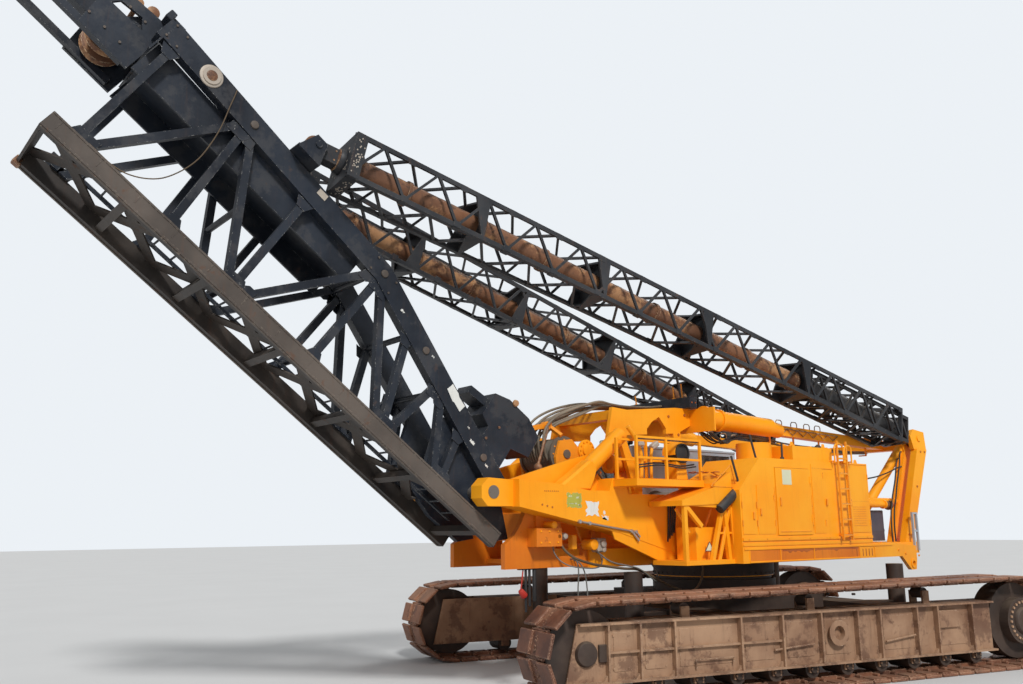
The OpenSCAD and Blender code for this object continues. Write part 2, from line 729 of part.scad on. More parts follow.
// cone behind each tube, and the slim beam
cone_len = 260;
cone_r = 118;
slim_y = 890;
slim_w = 160;
slim_z = [3560, 3450];
gantry_rear = -3700;
// point on a tube's line, x behind its front
function tube_at(x) = let (t = x / (tube_x - tube_end)) [tube_x - x, tube_y + tube_spread * t,
                                                         tube_z - tube_fall * t];
module top_tubes() color(yellow) upper() pair() difference() {
    union() {
        rod(tube_at(-10), tube_at(tube_x - tube_end), top_r);
        for (r = tube_rings) rod(tube_at(r[0]), tube_at(r[1]), top_r + r[2]);
        rod(tube_at(tube_x - tube_end - 20), [tube_end - cone_len, slim_y + 6, slim_z[0] - 8], cone_r);
        bar([tube_end + 20, slim_y, slim_z[0]], [gantry_rear - 100, slim_y, slim_z[1]], slim_w, slim_w);
    }
    box([tube_x - seat, 0, plate_lo - 400], [tube_x + 300, plate_half + 200, mast_top + 200]);
    box([gantry_rear - 300, 0, plate_lo - 400], [gantry_rear + seat, plate_half + 200, mast_top + 200]);
}

// Backstays: the line of each, and the normal of the plane that it swings in
pin = [pin_x, pin_y, pin_z];
function turned(t) = let (u = knuckle_u - hinge_u, w = knuckle_w - hinge_w)
    [hinge_x + u * cos(t) - w * sin(t), knuckle_y, hinge_z + u * sin(t) + w * cos(t)];
stay_d = turned(lean) - pin;
stay_len = norm(stay_d);
stay_az = atan2(stay_d[1], stay_d[0]);
stay_el = asin(stay_d[2] / stay_len);
low_d = turned(lean - tilt_range) - pin;
swing_n = cross(low_d, stay_d) / norm(cross(low_d, stay_d));
stay_y = [-sin(stay_az), cos(stay_az), 0];
stay_z = [-sin(stay_el) * cos(stay_az), -sin(stay_el) * sin(stay_az), cos(stay_el)];
stay_roll = atan2(-swing_n * stay_z, -swing_n * stay_y);
module on_stay() upper() translate(pin) rotate([stay_roll, -stay_el, stay_az]) children();

// Rear gantry: two pin heads, legs, rear stays and cross beam
eye_half = 55;
cheek_gap = 5;
cheek_t = 70;
cheek_pts = [[-190, -190], [180, -190], [240, 40], [120, 160], [-190, 120]];
pin_out = 90;
leg_t = 110;
leg_in = 170;
leg_out = 60;
leg_top = 3345;
leg_pts = [[-4040, leg_top], [-3720, leg_top], [-3080, deck_hi + seat], [-3320, deck_hi + seat]];
rear_stay_head = [-3760, 1250, 3380];
rear_stay_foot = [-2100, 1100, 1780];
rear_stay_r = 80;
cross_beam = [-3900, 135, 100];
// round ties between the house's rear wall and the legs: across, height, radius, rear end
bay_tie = [1300, 2450, 55, -3360];
module head() on_stay() rotate([0, stay_el, 0]) {
    slot_half = eye_half + cheek_gap;
    for (s = [-1, 1]) plate(cheek_pts, s > 0 ? slot_half : -slot_half - cheek_t, cheek_t);
    axle(0, 0, pin_r, -slot_half - pin_out, slot_half + pin_out);
}
module rear_gantry() color(yellow) {
    pair() head();
    upper() {
        pair() {
            plate(leg_pts, pin_y - leg_in, leg_t);
            plate(leg_pts, pin_y + leg_out, leg_t);
            difference() {
                rod(rear_stay_head, rear_stay_foot, rear_stay_r);
                box([-2400, 800, 1500], [-1900, 1500, deck_hi + seat]);
            }
            rod([house_rear - seat, bay_tie[0], bay_tie[1]], [bay_tie[3], bay_tie[0], bay_tie[1]],
                bay_tie[2]);
        }
        slab(cross_beam[0], gantry_rear, pin_y - cross_beam[2], leg_top, leg_top + cross_beam[1]);
    }
}

// Winches: half width, shaft's place
winch_y = 470;
front_winch_y = 350;
drum_x = 3300;
drum_z = 3050;
rear_drum_x = 700;
rear_drum_z = 2380;
shaft_r = 60;
shaft_out = 55;
drum_r = 190;
drum_flange_r = 250;
flange_in = 40;
drum_gap = 10;
winch_t = 40;
winch_foot = 60;
front_winch = [[2000, deck_hi + seat], [3000, deck_hi + seat], [3450, 2700], [3500, 3000], [3420, 3230],
               [3200, 3260], [2600, 2700], [2000, 2500]];
rear_winch = [[400, deck_hi + seat], [1000, deck_hi + seat], [840, 2500], [560, 2500]];
// motors of the front winch: from and to along, radius and height, and their brackets
motor_x = [2520, 2040];
motor_y = 80;
motor_r = 105;
motor_z = 2950;
bracket = [2150, 2400, 20, 60, 2400];
module stand(pts, x, z, y, x0, x1) {
    pair() difference() {
        plate(pts, y, winch_t);
        axle(x, z, shaft_r + seat, y - over, y + winch_t + over);
    }
    slab(x0, x1, winch_y + over, deck_hi + seat, deck_hi + winch_foot);
}
module winch_frame() color(yellow) upper() {
    pair() rod([motor_x[0], front_winch_y + motor_y, motor_z],
               [motor_x[1], front_winch_y + motor_y, motor_z], motor_r);
    pair() box([bracket[0], front_winch_y + bracket[2], bracket[4]],
               [bracket[1], front_winch_y + bracket[3], motor_z]);
    stand(front_winch, drum_x, drum_z, front_winch_y, 2000, 2900);
    stand(rear_winch, rear_drum_x, rear_drum_z, winch_y, 400, 1000);
}
module drum(x, z, y) {
    axle(x, z, drum_r, drum_gap - y, y - drum_gap);
    pair() axle(x, z, drum_flange_r, y - flange_in, y - drum_gap);
    axle(x, z, shaft_r, -y - shaft_out, y + shaft_out);
}
module winch_front() color(grey) upper() drum(drum_x, drum_z, front_winch_y);
module winch_rear() color(grey) upper() drum(rear_drum_x, rear_drum_z, winch_y);

// Railed platform, side ladder and rear rail
floor_x = [1700, 3010];
floor_y = 1420;
floor_z = [2590, 2680];
post_x = [1720, 2400, 2960];
post_y = [1010, 1380];
post_w = 35;
post_top = 3240;
rail_z = [2940, 3210];
rail_t = 30;
module platform() color(yellow) upper() {
    box([floor_x[0], arm_out + seat, floor_z[0]], [floor_x[1], floor_y, floor_z[1]]);
    for (x = post_x, y = post_y) box([x, y, floor_z[1] - 10], [x + post_w, y + post_w, post_top]);
    for (z = rail_z, y = post_y) box([post_x[0], y, z], [post_x[2] + post_w, y + rail_t, z + rail_t]);
}
ladder_x = [-1220, -980];
ladder_w = 24;
ladder_out = 60;
ladder_d = 30;
ladder_z = [1840, 3330];
ladder_feet = [1915, 2990];
rung_count = 6;
rung_step = 230;
rung_z = 1900;
rung_t = 20;
module ladder() color(yellow) upper() {
    y0 = house_half + ladder_out;
    for (x = ladder_x) box([x, y0, ladder_z[0]], [x + ladder_w, y0 + ladder_d, ladder_z[1]]);
    for (k = [0:rung_count - 1])
        box([ladder_x[0] + ladder_w / 2, y0 + 2, rung_z + k * rung_step],
            [ladder_x[1] + ladder_w / 2, y0 + ladder_d - 2, rung_z + k * rung_step + rung_t]);
    for (z = ladder_feet, x = ladder_x) box([x, house_half + seat, z],
                                            [x + ladder_w, y0 + 2, z + ladder_w]);
}
rear_post_x = [-3320, -3200];
rear_post_w = 34;
rear_post_z = [1640, 2260];
rear_rail_z = [1940, 2230];
module rear_rail() color(grey) upper() {
    y0 = gusset_y + seat;
    for (x = rear_post_x) box([x, y0, rear_post_z[0]], [x + rear_post_w, y0 + rear_post_w, rear_post_z[1]]);
    for (z = rear_rail_z) box([rear_post_x[0], y0, z],
                              [rear_post_x[1] + rear_post_w, y0 + rear_post_w, z + rail_t]);
}

// Leader, drawn along its own axes: u along it, w behind its rail face
module on_leader() upper() translate([foot_x, 0, foot_z]) rotate([0, -lean, 0]) children();
rail_in = rail_half - rail_w;
// lacing of wide plates between the rails
lace_bays = 8;
lace_u = 800;
lace_w = 150;
lace_t = 20;
lace_z = 150;
lace_lap = 20;
end_plate = 30;
// cross pieces between the rails: first, spacing, width, from and to behind the rail face
rung_u = 200;
rung_pitch = 1100;
rung_w = 90;
rung_d = [30, 120];
module lacing() translate([0, 0, lace_z]) linear_extrude(lace_t) intersection() {
    translate([lace_u, -rail_in - over]) square([rail_len - lace_u, 2 * (rail_in + over)]);
    for (k = [0:lace_bays - 1], s = [-1, 1]) let (p = rail_len / lace_bays)
        slat([k * p - lace_lap, s * rail_in], [(k + 1) * p + lace_lap, -s * rail_in], lace_w);
}
module leader_rails() color(black) on_leader() {
    pair() box([0, rail_in, 0], [rail_len, rail_half, rail_d]);
    lacing();
    slab(rail_len - end_plate, rail_len, rail_in + over, 0, rail_d);
    for (u = [rung_u:rung_pitch:rail_len - rung_w]) slab(u, u + rung_w, rail_in + over, rung_d[0],
                                                         rung_d[1]);
}
head_u0 = 6720;
head_plate = 20;
chord_y = chord_half - chord_w / 2;
chord_in = chord_half - chord_w;
// back chords: centre line at the upper end, the knee and the foot, and how far they overlap at the knee
chord_head = [6800, 1856];
chord_knee = [3200, 1640];
chord_foot = [200, 620];
chord_lap = [40, 10];
// side braces: along and behind at the rail, along and behind at the back chord
brace_at = 130;
braces = [[6500, brace_at, 6560, 1770], [6430, brace_at, 5500, 1710], [5300, brace_at, 5470, 1710],
          [4440, brace_at, 5400, 1710], [4400, brace_at, 4450, 1650], [4300, brace_at, 3300, 1570],
          [3250, brace_at, 3200, 1570], [2150, brace_at, 3150, 1550], [2050, brace_at, 2500, 1330],
          [2000, brace_at, 1800, 1100], [1150, brace_at, 1700, 1070], [1050, brace_at, 1200, 890]];
// cross tubes between the two sides: along and behind
cross_r = 38;
cross_at = [[4920, 920], [4405, 300], [3300, 1540], [3244, 300], [2480, 1290], [2120, 320], [1740, 1030]];
module rail_side() translate([-500, -100]) square([8000, 100 + rail_d + seat]);
module leader_side() {
    translate([0, chord_half, 0]) rotate([90, 0, 0]) linear_extrude(chord_w) difference() {
        union() {
            slat(chord_head, chord_knee, chord_d);
            slat(chord_knee + chord_lap, chord_foot, chord_d);
        }
        translate([head_u0 - head_plate - seat, 0]) square([1000, 2500]);
        rail_side();
    }
    translate([0, chord_y + brace_w / 2, 0]) rotate([90, 0, 0]) linear_extrude(brace_w) difference() {
        for (b = braces) slat([b[0], b[1]], [b[2], b[3]], brace_w);
        rail_side();
    }
}
module leader_sides() color(black) on_leader() {
    for (c = cross_at) axle(c[0], c[1], cross_r, -chord_y, chord_y);
    pair() leader_side();
}
// plated web between the back chords
box_t = 30;
box_u = [3500, 6690];
box_side = [[box_u[0], 1260], [box_u[1], 1260], [box_u[1], 1700], [box_u[0], 1560]];
box_floor = 1500;
module leader_box() color(black) on_leader() {
    pair() plate(box_side, chord_in - box_t - seat, box_t);
    slab(box_u[0], box_u[1], chord_in - box_t, box_floor, box_floor + box_t);
}

// Upper end: end plates, side plates, box beams and sheave shaft
head_y = 220;
side_gap = 100;
side_t = 40;
head_side = [[head_u0, 1240], [7350, 1240], [7450, 1900], [head_u0, 1980]];
head_window = [[6900, 1700], [7000, 1820], [7250, 1780], [7300, 1680]];
beam_u = 7300;
beam_w = 140;
beam_z = [1700, 1900];
end_t = 60;
// thick end of each box beam with its pin hole
end_len = 400;
end_y = 180;
end_hole = [200, 1800];
low_beam = [80, 20, 100, 1250, 1330];
// end plates: thickness, half width, from and to behind the rail face
end_plates = [[head_u0, head_u0 + 60, chord_half, 1700, 1960],
              [head_u0 - head_plate, head_u0, 560, 1500, 1960]];
sheave = [7100, 1500];
sheave_r = 110;
end_half = 400;
module leader_head() color(black) on_leader() {
    tip = head_u - end_t;
    pair() {
        difference() {
            plate(head_side, head_y + side_gap, side_t);
            plate(head_window, head_y + side_gap - over, side_t + 2 * over);
        }
        difference() {
            union() {
                box([beam_u, head_y, beam_z[0]], [tip, head_y + beam_w, beam_z[1]]);
                box([head_u - end_len, head_y, beam_z[0]], [tip, head_y + end_y, beam_z[1]]);
            }
            axle(head_u - end_hole[0], end_hole[1], end_hole_r, head_y - over, head_y + end_y + over);
        }
        box([head_u0 + low_beam[0], head_y + low_beam[1], low_beam[3]],
            [tip, head_y + low_beam[2], low_beam[4]]);
    }
    for (p = end_plates) slab(p[0], p[1], p[2], p[3], p[4]);
    axle(sheave[0], sheave[1], sheave_r, -head_y - side_gap - over, head_y + side_gap + over);
    slab(tip, head_u, end_half, end_w, beam_z[1]);
}

// Lugs that hold the backstays' upper pins
knuckle_half = 80;
lug_gap = 34;
lug_t = 40;
lug_foot = 170;
lug_head = 80;
lug_base = 197;
lug_plate = 28;
lug_rise = 90;
lug_pin = 60;
module knuckle_lugs() on_leader() pair() {
    base_w = knuckle_w - lug_base + seat;
    inner_y = knuckle_y - knuckle_half - lug_gap;
    outer_y = knuckle_y + knuckle_half + lug_gap;
    for (y = [inner_y - lug_t, outer_y])
        plate([[knuckle_u - lug_foot, base_w], [knuckle_u + lug_foot, base_w],
               [knuckle_u + lug_head, knuckle_w + lug_rise],
 [knuckle_u - lug_head, knuckle_w + lug_rise]], y, lug_t);
    box([knuckle_u - lug_foot, chord_in, base_w],
        [knuckle_u + lug_foot, outer_y + lug_t, base_w + lug_plate]);
    axle(knuckle_u, knuckle_w, knuckle_r, inner_y - lug_pin, outer_y + lug_pin);
}

// Foot plates with the hinge, and the weight block behind them
foot_t = 90;
foot_y = chord_in - foot_t - seat;
foot_pts = [[-60, 120 + seat], [500, 120 + seat], [1300, 300], [1500, 900], [500, 820], [250, 700],
            [-240, 300]];
foot_tie = [520, 900, 560, 780];
block_half = 240;
block_pts = [[300, 600], [760, 600], [760, 1350], [930, 1420], [930, 1780], [700, 1870], [300, 1880],
             [20, 1780],
             [0, 1450], [300, 1350]];
// channel bar in front of the block, and the eye behind it
channel = [[1240, 1600], [800, 1650]];
channel_w = 300;
channel_h = 110;
block_eye = [600, 1890];
block_eye_r = 75;
block_eye_half = 60;
module leader_foot() color(black) {
    on_leader() {
        pair() plate(foot_pts, foot_y, foot_t);
        slab(foot_tie[0], foot_tie[1], foot_y + over, foot_tie[2], foot_tie[3]);
        plate(block_pts, -block_half, 2 * block_half);
        bar([channel[0][0], 0, channel[0][1]], [channel[1][0], 0, channel[1][1]], channel_w, channel_h);
        axle(block_eye[0], block_eye[1], block_eye_r, -block_eye_half, block_eye_half);
    }
    knuckle_lugs();
}
hinge_pin_out = 8;
module hinge_pins() color(rust) on_leader() pair()
    axle(hinge_u, hinge_w, hinge_r, chord_in + seat, arm_in + nose_w + hinge_pin_out);

// Cages of the backstays
slat_w = 34;
// one lattice face: two chords and a zigzag of slats
module cage_face(x0, x1, s, n) {
    p = (x1 - x0) / n;
    e = s / 2 - chord_t / 2;
    translate([0, s / 2, 0]) rotate([90, 0, 0]) linear_extrude(cage_t) {
        for (z = [-s / 2, s / 2 - chord_t]) translate([x0, z]) square([x1 - x0, chord_t]);
        for (k = [0:n - 1]) {
            slat([x0 + k * p, -e], [x0 + (k + 0.5) * p, e], slat_w);
            slat([x0 + (k + 0.5) * p, e], [x0 + (k + 1) * p, -e], slat_w);
        }
    }
}
module lattice(x0, x1, s, n) for (r = [0:90:270]) rotate([r, 0, 0]) cage_face(x0, x1, s, n);
module diaphragm(x, s, t, hole) translate([x, 0, 0]) rotate([0, 90, 0]) linear_extrude(t) difference() {
    square([s, s], center = true);
    circle(r = hole);
}

// Lower barrel with its eye, neck and inner cage
inner_x0 = 440;
inner_bays = 6;
neck_x0 = 60;
neck_h = 90;
neck_in = 5;
neck_end = 340;
neck_lap = 20;
bore_start = 420;
eye_out = 120;
module barrel() color(black) on_stay() difference() {
    union() {
        rod([neck_end - neck_lap, 0, 0], [barrel_len, 0, 0], barrel_r);
        diaphragm(inner_x0, cage_in, cage_t, barrel_r - over);
        diaphragm(barrel_len - cage_t, cage_in, cage_t, barrel_r - over);
        lattice(inner_x0, barrel_len, cage_in, inner_bays);
        axle(0, 0, eye_out, -eye_half, eye_half);
        box([neck_x0, neck_in - eye_half, -neck_h], [neck_end, eye_half - neck_in, neck_h]);
    }
    rod([bore_start, 0, 0], [barrel_len + over, 0, 0], tube_r + seat);
    axle(0, 0, pin_r + seat, -eye_half - over, eye_half + over);
}

// Sliding tube with its eye; the eye's hole leaves room for the drift of the open joint
tube_x0 = 1600;
tube_short = 290;
tube_neck = [310, 60, 100];
eye_r = 130;
drift = 32;
module tube() color(rust) on_stay() difference() {
    union() {
        rod([tube_x0, 0, 0], [stay_len - tube_short, 0, 0], tube_r);
        box([stay_len - tube_neck[0], neck_in - knuckle_half, -tube_neck[2]],
            [stay_len - tube_neck[1], knuckle_half - neck_in, tube_neck[2]]);
        axle(stay_len, 0, eye_r, -knuckle_half, knuckle_half);
    }
    axle(stay_len, 0, knuckle_r + drift, -knuckle_half - over, knuckle_half + over);
}

// Outer cage: lattice, square plates with gussets, and the frame at its rear end
cage_x0 = 700;
cage_top = stay_len - 370;
plate_x = [barrel_len + 100, 5300, 7300, 9300];
gusset_len = 200;
slide_gap = 7;
module cage_plate(x) {
    diaphragm(x, cage, cage_t, tube_r + seat);
    for (r = [0:90:270]) rotate([r, 0, 0]) translate([x, cage / 2 - cage_t, 0])
        rotate([-90, 0, 0]) linear_extrude(cage_t)
        polygon([[cage_t - over, -cage / 2 + over], [cage_t - over, cage / 2 - over],
                 [cage_t + gusset_len, -cage / 2 + over]]);
}
module stay() color(black) on_stay() {
    lattice(cage_x0, cage_top, cage, cage_bays);
    for (x = plate_x) cage_plate(x);
    diaphragm(cage_top - cage_t, cage, cage_t, tube_r + seat);
    translate([cage_x0, 0, 0]) rotate([0, 90, 0]) linear_extrude(cage_t) difference() {
        square([cage, cage], center = true);
        square([cage_in + 2 * slide_gap, cage_in + 2 * slide_gap], center = true);
    }
}
module barrel_left() barrel();
module barrel_right() mirror([0, 1, 0]) barrel();
module stay_left() stay();
module stay_right() mirror([0, 1, 0]) stay();
module tube_left() tube();
module tube_right() mirror([0, 1, 0]) tube();

carbody();
frame_left();
frame_right();
wheels_left();
wheels_right();
track_left();
track_right();
jack_front_left();
jack_front_right();
jack_rear_left();
jack_rear_right();
deck();
house_left();
house_door();
engine_block();
cab_shell();
cab_glass();
cab_door();
door_glass();
arms();
front_frame();
struts();
mast();
black_beam();
top_tubes();
rear_gantry();
winch_frame();
winch_front();
winch_rear();
platform();
ladder();
rear_rail();
leader_rails();
leader_sides();
leader_box();
leader_head();
leader_foot();
hinge_pins();
barrel_left();
barrel_right();
stay_left();
stay_right();
tube_left();
tube_right();
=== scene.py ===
"""Looks of a crawler crane base that carries a leaning lattice leader on two caged backstays.

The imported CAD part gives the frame. This script adds the finer pieces, gives every surface its
worn finish, and sets up a plain studio with the camera at the photograph's viewing angle.
"""

from __future__ import annotations

import json
import logging
import math
from dataclasses import dataclass, field
from enum import Enum
from typing import Any, Iterable, Sequence

import bmesh
import bpy
from mathutils import Matrix, Vector, noise

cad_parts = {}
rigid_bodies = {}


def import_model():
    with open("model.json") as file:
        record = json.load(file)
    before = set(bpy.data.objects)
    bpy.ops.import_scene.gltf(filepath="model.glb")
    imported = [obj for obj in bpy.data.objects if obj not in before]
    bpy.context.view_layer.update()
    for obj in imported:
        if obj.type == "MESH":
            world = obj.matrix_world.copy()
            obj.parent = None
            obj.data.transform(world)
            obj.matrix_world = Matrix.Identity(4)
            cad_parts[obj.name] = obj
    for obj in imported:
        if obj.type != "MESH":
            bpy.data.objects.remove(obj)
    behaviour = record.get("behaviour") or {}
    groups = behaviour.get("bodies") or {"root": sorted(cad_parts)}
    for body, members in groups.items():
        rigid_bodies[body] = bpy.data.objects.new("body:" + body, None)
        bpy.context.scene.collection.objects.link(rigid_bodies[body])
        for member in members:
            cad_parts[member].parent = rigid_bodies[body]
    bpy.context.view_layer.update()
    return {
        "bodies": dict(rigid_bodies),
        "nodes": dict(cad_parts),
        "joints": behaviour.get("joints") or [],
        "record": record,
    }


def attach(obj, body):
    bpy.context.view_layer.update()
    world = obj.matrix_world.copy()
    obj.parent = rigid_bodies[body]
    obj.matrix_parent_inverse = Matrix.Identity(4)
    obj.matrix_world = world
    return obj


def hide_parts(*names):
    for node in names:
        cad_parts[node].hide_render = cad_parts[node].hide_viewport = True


LOG = logging.getLogger("crawler_crane")
Point = Sequence[float]
Pair = tuple[float, float]
Trio = tuple[float, float, float]
Colour = tuple[int, int, int]
Light = tuple[float, float, float, float]
AHEAD, ASIDE, UPWARD, BACK = (1, 0, 0), (0, 1, 0), (0, 0, 1), (-1, 0, 0)
SIDES = (-1, 1)
SMOOTH_ANGLE = 35.0


# Finishes


def linear(red: int, green: int, blue: int) -> Light:
    """Return a screen colour, 0 to 255, as linear light with alpha 1."""

    def one(value: int) -> float:
        """Return one channel as linear light."""
        part = value / 255
        return part / 12.92 if part <= 0.04045 else ((part + 0.055) / 1.055) ** 2.4

    return one(red), one(green), one(blue), 1.0


@dataclass(frozen=True)
class Clouds:
    """The scale, detail and roughness of a noise texture."""

    scale: float
    detail: float
    rough: float = 0.6


BROAD, MIDDLE, FINE = Clouds(0.9, 5.0), Clouds(6.0, 6.0, 0.65), Clouds(38.0, 5.0, 0.7)
RUNS, PATCHES = Clouds(1.6, 6.0, 0.7), Clouds(2.4, 6.0, 0.7)
FILM, GROUND = Clouds(4.0, 6.0), Clouds(0.4, 4.0)
DOWNWARD_RUNS = (9.0, 9.0, 0.9)


class Signal:
    """A number in a shader that takes part in Python expressions."""

    def __init__(self, graph: Graph, socket: bpy.types.NodeSocket) -> None:
        """Wrap the socket that carries the number."""
        self.graph, self.socket = graph, socket

    def __add__(self, other: Any) -> Signal:
        """Add."""
        return self.graph.maths("ADD", self, other)

    def __sub__(self, other: Any) -> Signal:
        """Subtract."""
        return self.graph.maths("SUBTRACT", self, other)

    def __rsub__(self, other: Any) -> Signal:
        """Subtract from a number."""
        return self.graph.maths("SUBTRACT", other, self)

    def __mul__(self, other: Any) -> Signal:
        """Multiply."""
        return self.graph.maths("MULTIPLY", self, other)

    def band(self, low: float, high: float) -> Signal:
        """Rise smoothly from 0 at low to 1 at high."""
        out = self.graph.node("ShaderNodeMapRange", {"interpolation_type": "SMOOTHSTEP"},
                              {"Value": self, "From Min": low, "From Max": high})
        return Signal(self.graph, out.outputs["Result"])


class Graph:
    """The node tree of one material."""

    def __init__(self, name: str) -> None:
        """Start an empty material of that name."""
        self.material = bpy.data.materials.new(name)
        self.material.use_nodes = True
        self.tree = self.material.node_tree
        self.tree.nodes.clear()

    def node(self, kind: str, settings: dict[str, Any], inputs: dict[Any, Any]) -> bpy.types.Node:
        """Add a node.

        Args:
            kind: the node's type.
            settings: its properties, set before its sockets.
            inputs: the value or link of each socket, by name or number.

        Returns:
            The new node.
        """
        new = self.tree.nodes.new(kind)
        for key, value in settings.items():
            setattr(new, key, value)
        for key, value in inputs.items():
            source = value.socket if isinstance(value, Signal) else value
            if isinstance(source, bpy.types.NodeSocket):
                self.tree.links.new(source, new.inputs[key])
            else:
                new.inputs[key].default_value = source
        return new

    def maths(self, operation: str, first: Any, second: Any) -> Signal:
        """Return one Math node's result."""
        new = self.node("ShaderNodeMath", {"operation": operation}, {0: first, 1: second})
        return Signal(self, new.outputs[0])

    def blend(self, mask: Any, first: Any, second: Any) -> bpy.types.NodeSocket:
        """Return the mix of two colours by a mask."""
        new = self.node("ShaderNodeMix", {"data_type": "RGBA"}, {0: mask, 6: first, 7: second})
        return new.outputs[2]

    def noise(self, where: Any, clouds: Clouds) -> Signal:
        """Return a noise value at a place."""
        new = self.node("ShaderNodeTexNoise", {}, {"Vector": where, "Scale": clouds.scale,
                                                   "Detail": clouds.detail, "Roughness": clouds.rough})
        return Signal(self, new.outputs["Fac"])

    def stretched(self, where: Any, scale: Point) -> bpy.types.NodeSocket:
        """Return a place scaled by axis."""
        return self.node("ShaderNodeMapping", {}, {"Vector": where, "Scale": scale}).outputs[0]

    def surface(self, **inputs: Any) -> bpy.types.Material:
        """Close the tree with a shader of those inputs, spaces for their underscores."""
        sockets = {key.replace("_", " "): value for key, value in inputs.items()}
        shader = self.node("ShaderNodeBsdfPrincipled", {}, sockets)
        self.node("ShaderNodeOutputMaterial", {}, {"Surface": shader.outputs[0]})
        return self.material


@dataclass(frozen=True)
class Worn:
    """A painted or bare steel finish with wear, rust, dust and rain streaks."""

    name: str
    base: Colour
    faded: Colour
    chip: Colour
    rust: Colour = (96, 58, 38)
    dust: Colour = (158, 140, 118)
    chips: float = 0.3
    rusting: float = 0.3
    dusting: float = 0.3
    streaks: float = 0.3
    rough: float = 0.5
    metal: float = 0.0
    coat: float = 0.0
    grain: float = 0.25
    edge: float = 0.012
    mottle: Colour = (0, 0, 0)
    mottling: float = 0.0
    gleam: float = 0.45

    def build(self) -> bpy.types.Material:
        """Return the material."""
        g = Graph(self.name)
        place = g.node("ShaderNodeTexCoord", {}, {})
        where = place.outputs["Object"]
        broad, middle, fine = (g.noise(where, clouds) for clouds in (BROAD, MIDDLE, FINE))
        streak = g.noise(g.stretched(where, DOWNWARD_RUNS), RUNS)
        rounded = g.node("ShaderNodeBevel", {"samples": 3}, {"Radius": self.edge}).outputs[0]
        flat = g.node("ShaderNodeNewGeometry", {}, {}).outputs["Normal"]
        facing = g.node("ShaderNodeVectorMath", {"operation": "DOT_PRODUCT"}, {0: rounded, 1: flat})
        edge = (1.0 - Signal(g, facing.outputs["Value"])).band(0.004, 0.08)
        sides = g.node("ShaderNodeSeparateXYZ", {}, {0: place.outputs["Normal"]})
        up = Signal(g, sides.outputs[2])
        tone = g.blend(broad.band(0.35, 0.68), linear(*self.base), linear(*self.faded))
        if self.mottling:
            patchy = g.noise(where, PATCHES).band(0.5, 0.6) * self.mottling
            tone = g.blend(patchy, tone, linear(*self.mottle))
        dark = g.blend(streak.band(0.52, 0.78) * self.streaks, tone, linear(*self.rust))
        spots = middle.band(0.72 - 0.25 * self.rusting, 0.80 - 0.22 * self.rusting)
        rusty = g.blend(spots * (0.35 + 0.65 * self.rusting), dark, linear(*self.rust))
        at_edges, in_fields = 0.3 * self.chips, 0.16 * self.chips
        chipped = (edge * fine.band(0.66 - at_edges, 0.72 - at_edges)
                   + fine.band(0.80 - in_fields, 0.84 - in_fields) * middle.band(0.5, 0.62))
        worn = g.blend(chipped.band(0.1, 0.7), rusty, linear(*self.chip))
        settled = (up.band(0.2, 0.9) * 0.8 + 0.2) * broad.band(0.3, 0.62) * middle.band(0.25, 0.6)
        colour = g.blend(settled * self.dusting, worn, linear(*self.dust))
        shine = (fine - 0.5) * 0.25 + (middle - 0.5) * 0.2 + spots * 0.2 + settled * 0.2 + self.rough
        height = g.node("ShaderNodeBump", {}, {"Strength": self.grain, "Distance": 0.006,
                                               "Height": fine * 0.4 + middle * 0.6 - chipped * 0.3})
        return g.surface(Base_Color=colour, Roughness=shine, Normal=height.outputs[0],
                         Metallic=self.metal, Coat_Weight=self.coat, Coat_Roughness=0.3,
                         Specular_IOR_Level=self.gleam)


@dataclass(frozen=True)
class Pane:
    """Dusty window glass."""

    name: str
    tint: Colour
    dust: Colour = (150, 150, 140)

    def build(self) -> bpy.types.Material:
        """Return the material."""
        g = Graph(self.name)
        where = g.node("ShaderNodeTexCoord", {}, {}).outputs["Object"]
        film = g.noise(where, FILM).band(0.35, 0.8)
        colour = g.blend(film, linear(*self.tint), linear(*self.dust))
        return g.surface(Base_Color=colour, Roughness=film * 0.3 + 0.06, Alpha=film * 0.3 + 0.45,
                         Specular_IOR_Level=0.8)


